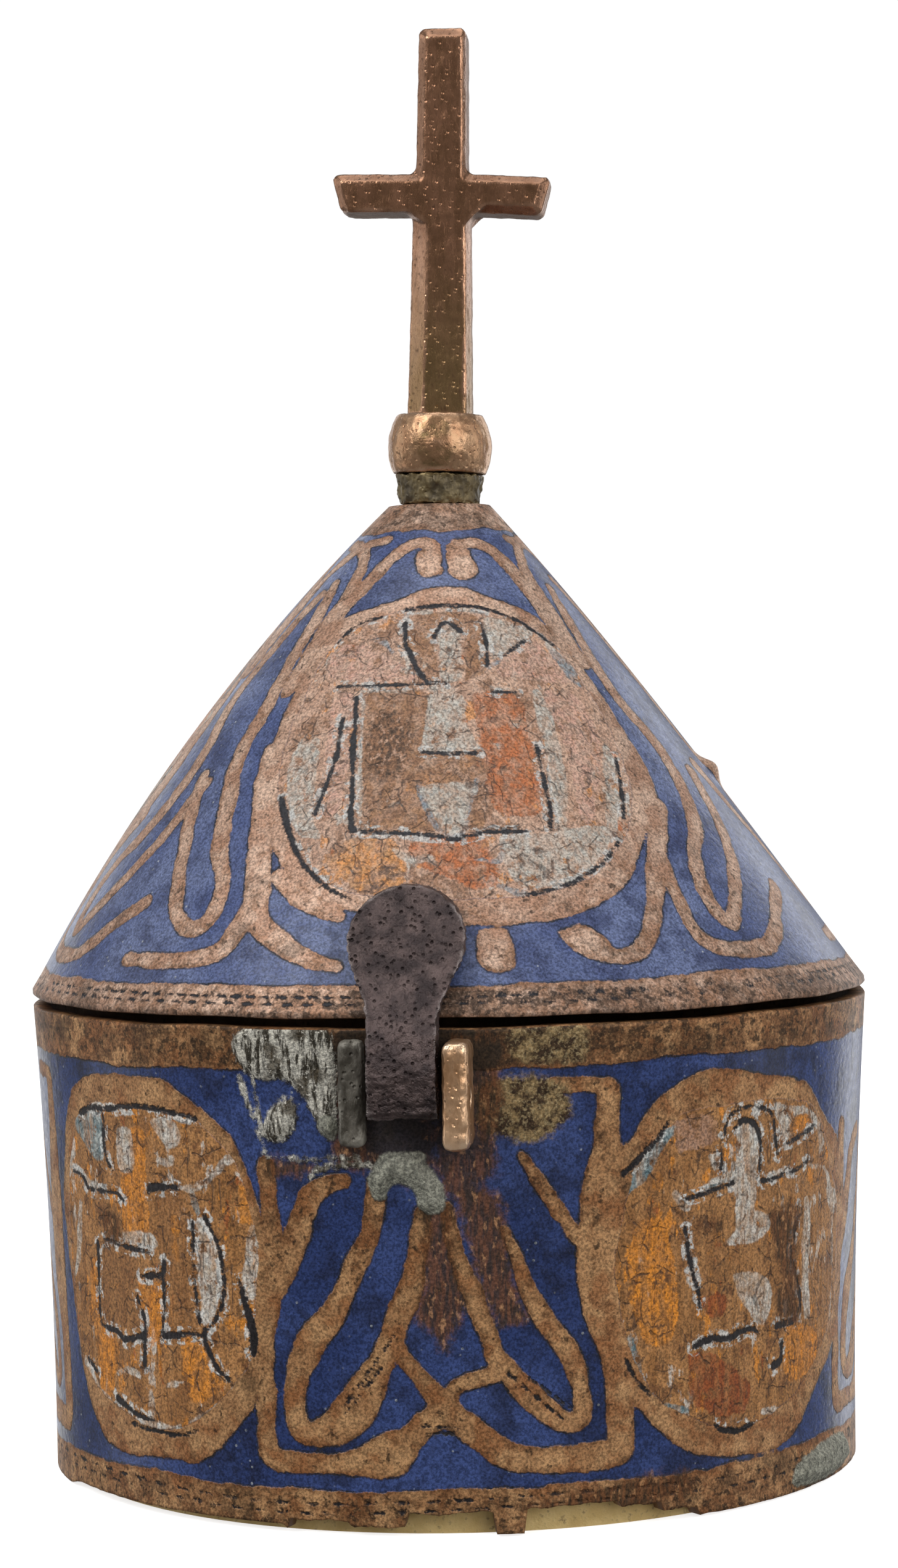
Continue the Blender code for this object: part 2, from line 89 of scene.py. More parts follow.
# Patterns: a line lists x, z and half its width at each point, and an area lists x and z alone.
BOX_LEAVES = {
    "copper": (
        ((-2.2, 25.6, .7), (-2.4, 24, .8), (-2.85, 22, .75), (-3.9, 20, .9), (-4.8, 18, .8), (-6, 16, 1),
         (-7.7, 14, 1.15), (-8.7, 12, .95), (-9.1, 10, .85), (-9.1, 8.5, .8), (-8.4, 7.5, .85),
         (-7.2, 7.3, .9)),
        ((-7.4, 7.3, .9), (-6, 7.9, 1.3), (-4.7, 8.9, 1.6), (-3.7, 10.2, 1.5), (-2.7, 12, 1.1),
         (-1.6, 14.2, .9), (-.9, 16, .9), (0, 18, .9), (.5, 20, .8), (.9, 22, .8), (1.1, 23.6, .6)),
        ((7.0, 22.2, .4), (7.5, 21, .5), (7.9, 20, .5), (8.5, 18, .55), (9.5, 16, .75), (10.8, 14, .85),
         (12, 12, .8), (12.45, 10, .7), (12.5, 8.6, .75), (11.9, 7.9, .75), (10.9, 8, .8), (9.9, 8.7, .95)),
        ((9.9, 8.7, .95), (8.6, 10, 1), (7.4, 11.3, .9), (6.2, 12.8, .75), (5.7, 14.4, .7), (5, 16, .75),
         (4.4, 18, .75), (3.6, 20, .65), (3.1, 22, .55), (2.8, 24, .5)),
        ((-1, 13.6, .6), (-.5, 12.9, .65), (.8, 11.3, .75), (2, 9.7, 1), (3.2, 8.4, 1), (5, 7, .95),
         (6.4, 5.9, 1), (8.5, 5.3, 1), (12, 5.2, 1), (14.4, 5.2, 1), (15.5, 5.6, 1), (15.5, 7.5, 1.1),
         (15.3, 12, 1.1), (14.4, 16, 1.7), (14.2, 20, 1.9), (14.4, 24, 1.7), (14.7, 27, 1.3),
         (14.85, 29, 1), (14.9, 31.8, .95)),
        ((14.9, 32.2, .7), (13.4, 32.5, .6), (10.8, 32.5, .6)),
        ((2.4, 9.8, .7), (3.1, 10.8, .6), (4.6, 11.3, .6), (6, 11.7, .7), (7, 11.7, .6)),
        ((2, 9, 1.1), (.6, 8, 1), (-.6, 6.9, 1.1), (-1.8, 6, 1.7), (-3.4, 5.5, 1.2), (-5.4, 5.2, .8),
         (-8.4, 5.2, .75), (-10.8, 5.3, .85), (-11.5, 6.4, .8), (-11.4, 10, .75), (-11.4, 14, .75),
         (-10.8, 17, .95), (-10.4, 20, 1), (-10.5, 24, .75), (-10.6, 27, .75)),
        ((8.4, 27.5, .45), (9.6, 25.6, .55), (11, 23.4, .55), (12.3, 21.6, .6), (13.8, 20.4, .9)),
        ((-4.6, 26, .6), (-5.8, 25.7, .7), (-7.1, 24.8, .85), (-7.8, 23.4, .9), (-8.4, 21.8, 1),
         (-9.4, 19.6, 1), (-10.2, 17.6, .7)),
    ),
}
LEFT_ROUNDEL = {
    "copper": (
        ((-27.2, 33), (-19.9, 33.1), (-18, 32.3), (-14, 29.6), (-12.6, 27.3), (-11.1, 23), (-10.7, 20),
         (-10.9, 13.8), (-12.4, 9.5), (-14, 7.5), (-17.6, 4.6), (-22.2, 4.6), (-25.5, 4.2), (-29.7, 5.4),
         (-32.6, 9.6), (-33.8, 13.8), (-35.3, 22), (-34, 27.3), (-33, 29.8), (-31.1, 31.9)),
    ),
    "field": (
        ((-30, 30.2), (-27, 30.9), (-22, 30.7), (-17, 30.3), (-14.6, 28.6), (-13.2, 27), (-12.2, 24),
         (-11.6, 21), (-12, 17), (-12.6, 14), (-12.6, 12.4), (-15.9, 9), (-19.7, 6.9), (-23.4, 6.7),
         (-25.5, 7.3), (-29.7, 8.6), (-33, 11), (-33.6, 15), (-34.2, 20), (-33.6, 24.5), (-32.6, 27),
         (-31.6, 28.9)),
    ),
    "robe": (
        ((-28.7, 20.2), (-23.8, 20.2), (-23.7, 18.2), (-23.2, 14.4), (-26, 13.8), (-28.7, 14)),
        ((-20.5, 24.2), (-17.4, 24.2), (-17.4, 14.2), (-20.5, 14.2)),
    ),
    "orange": (
        ((-23.4, 29), (-22, 29), (-21.9, 25.8), (-21.9, 22), (-22.4, 21.2), (-25.2, 21.4), (-24.8, 25.8),
         (-23.4, 26)),
        ((-23.6, 17.6), (-22.2, 17.9), (-20.8, 17.2), (-20.8, 15), (-21.4, 13.6), (-22.4, 12.6),
         (-22.9, 12.8), (-22.6, 14.2), (-23.4, 16)),
        ((-30.4, 18.2), (-29.2, 18.4), (-29.2, 14), (-30.4, 13.6), (-31.2, 14.2), (-30.6, 15.6)),
        ((-30, 13.2), (-27.2, 13.3), (-26.6, 11.6), (-27, 10.6), (-27.4, 9), (-28.4, 8), (-29.6, 8.8),
         (-29.8, 11)),
        ((-19, 13.4), (-17.6, 14), (-16.8, 13), (-16, 11.4), (-15, 10.6), (-16.4, 9.4), (-18.2, 9),
         (-19, 10.4)),
        ((-13.1, 22.8), (-11.6, 23), (-12, 25), (-13, 25.2)),
    ),
    "teal": (
        ((-30.8, 30), (-28, 30.2), (-27.1, 29.8), (-27.2, 27), (-27.8, 26.4), (-29, 26.7), (-30.4, 27.8),
         (-31.6, 28.4)),
        ((-17.2, 24.8, .25), (-17.1, 24, .3), (-16.8, 23.2, .25)),
    ),
    "pale": (
        ((-25.2, 26), (-25.2, 28.6), (-24.6, 29.2), (-23.6, 29.2), (-23.2, 28.5), (-23.4, 26)),
        ((-25.2, 21.2), (-22, 21.4), (-21, 20.6), (-22, 20.1), (-25, 20.4)),
        ((-17, 22.6), (-16.2, 22.9), (-15.4, 21.5), (-14.9, 19.5), (-15, 17.5), (-15.6, 15.8),
         (-16.8, 14.8), (-16.9, 16), (-17.1, 18), (-17, 20.5)),
        ((-13, 17.2), (-12, 17.1), (-11.7, 19), (-11.3, 20.5), (-11.5, 22.3), (-12.2, 22.4), (-12.6, 20.5),
         (-13.2, 18.5)),
        ((-21, 29.9), (-18.6, 30), (-18, 28.6), (-19.2, 27.8), (-20, 28.4)),
        ((-28.2, 30.6, .25), (-26.2, 30.9, .3), (-24.4, 31, .2)),
        ((-33.5, 24.8, .2), (-33, 26.2, .3), (-32.2, 26.6, .25)),
        ((-32, 25.6, .15), (-30.8, 25.2, .2), (-29.8, 24.5, .3), (-28.5, 24.4, .25), (-27.4, 24.3, .15)),
        ((-18.4, 25, .2), (-17.6, 24.9, .3), (-16.6, 25.2, .3), (-15.2, 26, .25), (-14.3, 27, .3),
         (-13.4, 27.5, .3)),
        ((-32.7, 18.4, .4), (-32.1, 20.5, .45), (-31.8, 22, .35), (-31.5, 22.8, .25)),
        ((-33.6, 17, .2), (-32.8, 18.2, .3)),
        ((-13.3, 26.4, .12), (-12.2, 25.6, .12), (-11.5, 24, .12), (-11.3, 22.6, .12)),
        ((-26.8, 10.2, .15), (-26, 10.6, .2), (-24.8, 10.6, .25), (-24, 10.4, .2)),
        ((-20.8, 10, .2), (-19.8, 10.2, .25), (-19, 10.4, .15)),
        ((-22.7, 9.4, .2), (-22.6, 8.4, .4), (-22.8, 7.4, .35)),
        ((-33.2, 11.1, .2), (-32, 10.2, .2), (-30.6, 9.4, .2), (-29.6, 8.6, .2), (-27.8, 7.8, .2)),
        ((-24.6, 6.9, .15), (-22.4, 6.8, .25), (-20.4, 6.8, .2), (-19.6, 7, .15)),
        ((-18.4, 7.3, .3), (-16.8, 8.2, .25), (-15.2, 9.2, .3), (-13.9, 10.4, .3), (-13, 11.4, .35),
         (-12.5, 12.2, .3)),
        ((-20.4, 27, .2), (-19.6, 26.8, .3), (-19, 27.2, .2)),
    ),
    "worn": (
        ((-28, 22.4), (-26.4, 22.8), (-25.2, 21.8), (-25.4, 20.4), (-27.4, 20.2)),
    ),
    "dark": (
        ((-30.4, 29.8, .18), (-28.6, 30.4, .2), (-26.4, 30.4, .16), (-22.5, 30.9, .16), (-18, 30.5, .12),
         (-16.4, 30.2, .1)),
        ((-26.9, 29.9, .12), (-27, 27.4, .14), (-26.4, 26, .1)),
        ((-32.6, 25.2, .12), (-30.6, 24.8, .12), (-29.8, 24, .12), (-26, 24.1, .1), (-25, 23.6, .1)),
        ((-21.8, 24.4, .12), (-21.4, 24.8, .25), (-18.8, 25, .18)),
        ((-13.4, 18.4, .1), (-12.7, 16, .28), (-12.3, 14.4, .3), (-12.5, 13, .2)),
        ((-28.9, 19.9, .2), (-29.1, 17, .1), (-29.1, 14.4, .16), (-28.6, 13.6, .14), (-26.6, 13.4, .18),
         (-25.8, 12.9, .14), (-24, 13.3, .2), (-22.9, 13.7, .2)),
        ((-28, 20.3, .1), (-26, 20.2, .12), (-24.4, 20, .1), (-22, 19.9, .1)),
        ((-20.6, 18.3, .12), (-20.7, 16, .1), (-21, 14.2, .12)),
        ((-23.8, 16.4, .1), (-23, 14.6, .1), (-23.1, 13, .12), (-23.3, 11.2, .14)),
        ((-23.2, 18, .12), (-22, 18.1, .2), (-20.8, 18.3, .18), (-20.4, 19.4, .1)),
        ((-17.3, 22.5, .09), (-17.5, 19, .09), (-17.2, 15, .09)),
        ((-21.1, 13.7, .16), (-19.8, 13.8, .22), (-18.6, 14, .14), (-17.2, 14.1, .1)),
        ((-16.2, 23, .1), (-15.2, 21.2, .12), (-14.7, 19, .12), (-14.9, 16.6, .12), (-15.9, 15, .1),
         (-16.8, 14.3, .18), (-16.2, 12.6, .18), (-15.4, 11.4, .12), (-14.6, 10.9, .1)),
        ((-27, 8.3, .26), (-25.6, 7.8, .18), (-24.2, 7.3, .14), (-22.4, 7.2, .1)),
        ((-31.6, 10.7, .12), (-30, 9.9, .12), (-31.4, 10.5, .1)),
        ((-25, 6.6, .1), (-22, 6.4, .1), (-19.4, 6.4, .1), (-17.8, 6.9, .1)),
    ),
}
RIGHT_ROUNDEL = {
    "copper": (
        ((23.7, 33), (28, 32.3), (34.1, 31.1), (36.6, 29.4), (38.3, 27.7), (41.2, 25.4), (42.2, 20),
         (42, 13.8), (39.9, 10), (36.6, 7.3), (34.1, 5), (32, 4), (29.1, 3.5), (23.7, 4), (21, 4.8),
         (19.3, 6.1), (17.6, 7.7), (16, 9.5), (14.4, 12), (13.4, 15), (12.6, 18), (12.9, 22), (13.2, 26),
         (16.5, 28.1), (18, 30.2), (19.7, 31.7), (21.8, 32.6)),
    ),
    "field": (
        ((16.5, 24.5), (17.5, 27), (19.8, 29), (22, 30), (26, 30.2), (30, 30.2), (33, 29.8), (36, 29),
         (38, 26.6), (39.2, 24), (40.8, 21.5), (41, 17), (40.4, 13), (38.5, 10.8), (36, 9), (33.5, 7.4),
         (31, 6.6), (28, 5.8), (25, 5.9), (21.5, 7.3), (19, 8.6), (17.4, 10.8), (16.2, 13.4), (15.6, 16),
         (15.4, 20)),
    ),
    "orange": (
        ((32, 12.2), (34.4, 12.6), (36.6, 11.6), (37, 10.4), (36, 8.8), (33.6, 8.2), (32, 8.8),
         (31.8, 10.6)),
        ((16.8, 21.4), (19, 22), (20.4, 18), (20.2, 13.6), (18, 13), (16.4, 16.6)),
        ((26.5, 26), (27.6, 26), (27.6, 25), (26.6, 25)),
        ((32.6, 28.3), (35, 28.4), (35.6, 27.6), (33, 27.4)),
    ),
    "red": (
        ((21.8, 12), (24, 11.6), (26.4, 10), (27.6, 8.6), (27, 7), (24, 7), (22, 8.2), (21.4, 10)),
        ((22.6, 16), (25, 16), (25.2, 15), (24.2, 14.4), (23, 15)),
    ),
    "pink": (
        ((20.6, 29.4), (23.8, 29.6), (24.2, 27.6), (21, 27), (20.4, 28.4)),
    ),
    "pale": (
        ((26.2, 28.3), (27.4, 28.6), (28.4, 28), (28.6, 26), (28.4, 25), (28.4, 23), (28.2, 22.1),
         (28.9, 21.8), (29.8, 21.4), (29.9, 20.4), (28.6, 19.7), (26.4, 19.5), (25.2, 19.8), (26.2, 20.8),
         (26.2, 22), (26.4, 24), (26, 25), (26.3, 26)),
        ((30.3, 29.9), (32, 29.5), (34.2, 29.2), (35.4, 28.9), (36.8, 28), (37.8, 26.4), (37.9, 25.4),
         (37, 25.2), (36.8, 26.4), (36, 27.6), (34.6, 28.6), (33, 28.6), (32.4, 27.6), (32.8, 27),
         (32, 26.8), (31.2, 27), (31.3, 28), (30.6, 28.8)),
        ((38.4, 22.4), (39.6, 22.3), (40.7, 22), (40.8, 20.6), (40, 20.2), (39, 21.2)),
        ((26, 17.4), (28, 17.3), (30, 16.4), (30.2, 14.6), (29.4, 13.2), (28.2, 13.6), (27, 15),
         (26.2, 16.2)),
        ((23.4, 26.6), (24.6, 26.4), (24.4, 25.4), (23.9, 25.6)),
        ((23.6, 24.5, .15), (25.6, 24.8, .3), (26.2, 24.9, .35)),
        ((20.4, 24, .2), (21, 23.2, .3), (21.6, 22.8, .25)),
        ((29.6, 24.4, .15), (30.8, 24.5, .22), (31.8, 24.6, .18)),
        ((35.2, 24.6, .12), (36.4, 24.3, .22), (37.6, 24.2, .18), (38.6, 23.6, .28), (39, 22.6, .3)),
        ((39.8, 20, .18), (39.9, 18, .14), (39.9, 15, .12), (39.5, 12, .12)),
        ((35, 22, .3), (35.2, 20.5, .45), (35, 18.5, .65), (34.9, 17, .55), (35, 15, .55),
         (35.2, 13.2, .5)),
        ((29, 6.6, .18), (30.4, 6.5, .2), (31.6, 6.3, .18)),
    ),
    "worn": (
        ((30, 21.8), (33.8, 21.8), (33.6, 18.6), (34.1, 14.6), (33.6, 13), (31, 13.2), (30.6, 15.4),
         (31.6, 16.6), (30.6, 18), (30, 20)),
        ((22.4, 21.8), (24.8, 21.6), (24.2, 20.8), (22.8, 21)),
    ),
    "teal": (
        ((20.3, 28.9, .25), (19.3, 28, .45), (18.2, 26.6, .5), (17.2, 25.4, .6), (16.4, 24.6, .4)),
        ((22.6, 24, .15), (24.4, 24.4, .2), (26, 24.6, .2)),
        ((19.4, 8.4, .2), (20.4, 8, .3), (21.2, 7.8, .25)),
        ((16.3, 13.7, .15), (16.7, 12.6, .3), (17, 11.8, .3), (17.2, 10.8, .15)),
    ),
    "dark": (
        ((19.8, 29.2, .12), (18.4, 27.7, .14), (17, 26.5, .2), (16, 25.7, .12)),
        ((26, 28.3, .12), (26.8, 28.8, .18), (27.8, 28.6, .18), (28.6, 27.8, .12), (28.8, 26.5, .1),
         (28.7, 25, .1)),
        ((24.7, 25.4, .08), (24.9, 28, .08), (26, 29.6, .08), (28.4, 29.7, .08), (30.1, 29, .1),
         (30.6, 27, .12), (30.9, 25.8, .12)),
        ((21.4, 23.5, .14), (22.8, 23.7, .14), (24.4, 24, .12), (26, 24.2, .12)),
        ((28.9, 24.1, .1), (30.2, 24, .14), (31.6, 24.3, .1), (33, 24.3, .1), (35, 24.9, .1)),
        ((36, 27.5, .1), (34, 27, .1), (32, 26.6, .1)),
        ((33.8, 21.6, .12), (33.2, 19.4, .14), (32.8, 18, .14), (33.6, 16, .18), (34.1, 14.4, .18),
         (33.6, 13, .18), (31.4, 12.9, .2), (30.8, 12.8, .15)),
        ((22, 12.4, .18), (22.8, 12.7, .22), (24, 12.8, .2), (25.4, 12.6, .18), (26.6, 13, .22),
         (28, 13, .15), (28.6, 12.6, .12)),
        ((31.5, 11.5, .14), (31.4, 10.2, .18), (30.4, 9.8, .26)),
        ((21.3, 21.2, .12), (21.5, 19.6, .14), (21.9, 18, .12), (22.4, 16.6, .12), (22.6, 15.2, .1)),
        ((23.8, 6.3, .12), (24.8, 5.8, .18), (26.4, 5.6, .18), (27.8, 5.9, .12)),
        ((16, 12.2, .1), (16.8, 10.6, .12), (18, 9.3, .1)),
    ),
}
# The worn front of the box, under the clasp
BOX_FRONT = {
    "worn": (
        ((.6, 24), (3.4, 24), (3.6, 20), (4.6, 17), (3.6, 15.6), (2.6, 13.4), (1.6, 14), (.8, 15.4),
         (.2, 16), (1, 18), (.9, 21)),
        ((3.6, 25.6), (6.6, 24.6), (7.2, 22), (7.4, 20.4), (8, 18), (8.6, 15.8), (7.6, 15.2), (6.2, 15.4),
         (5, 18), (4.2, 21)),
        ((2, 36.8), (7.4, 36.8), (6.6, 28.6), (6, 26), (2.4, 25)),
        ((-5.2, 37), (2, 37), (2, 26.4), (-4, 27), (-10.4, 27.4), (-10.6, 26), (-6.6, 26.8), (-5.2, 28.2)),
        ((8.4, 2.5), (14, 2.9), (20.5, 3.4), (21, 1.4), (8.6, 1.4)),
    ),
    "gilt": (
        ((5.6, 33.4), (9, 33.6), (11.6, 33.1), (12.2, 30.4), (11.4, 29.2), (9.6, 28.4), (7, 28.6),
         (5.4, 29.4)),
        ((7.5, 37), (12.6, 37), (13, 34.4), (8, 34.4)),
    ),
    "crust": (
        ((-5.2, 37), (-5, 29.4), (-6.2, 29.8), (-7.4, 32), (-8.6, 33.2), (-11, 33.4), (-12.6, 35),
         (-12, 37)),
        ((-9.6, 31.6), (-8.2, 32), (-7.8, 30.6), (-8.4, 29.4), (-9.8, 28.6), (-10.8, 29.6)),
        ((-10.4, 27.6, .12), (-7, 27.5, .12), (-3.4, 27.6, .12)),
        ((-7.4, 25.8, .14), (-6.4, 26.8, .18), (-4, 27.1, .25), (-1.8, 27.1, .3)),
        ((-12.4, 33.6, .1), (-11.6, 31, .12), (-10.6, 28, .12)),
        ((-11.2, 33.6, .1), (-10.9, 30, .12), (-10.7, 28, .12)),
    ),
    "lead": (
        ((-1.6, 28), (1.2, 28), (1.4, 27.2), (2, 26.6), (2.8, 25), (2.6, 23.8), (1.8, 23.4), (.8, 24),
         (.6, 25.2), (-.6, 25.8), (-1.2, 25.6), (-1.6, 24.6), (-2.4, 24.8), (-2.8, 26), (-2.2, 27)),
        ((-6.4, 30.2), (-5.7, 30.8), (-4.9, 30.4), (-4.8, 29.6), (-5.5, 29), (-6.2, 29.4)),
        ((34.4, 2.3), (41, 2.9), (43, 2.4), (43, .2), (33.4, .2)),
    ),
}
# Rows of engraved dashes, each from its start to its end
BOX_DASHES = (
    ((-5.1, 9.6), (-1.3, 14.6)), ((-5.6, 8.4), (-2, 12.6)), ((.4, 8.1), (3.6, 7.8)), ((.2, 7.3), (3, 7.5)),
    ((7.0, 11.7), (11, 8.1)), ((8, 11.7), (11.6, 8.9)),
)
DASH, DASH_GAP, DASH_HALF = 0.7, 0.55, 0.06
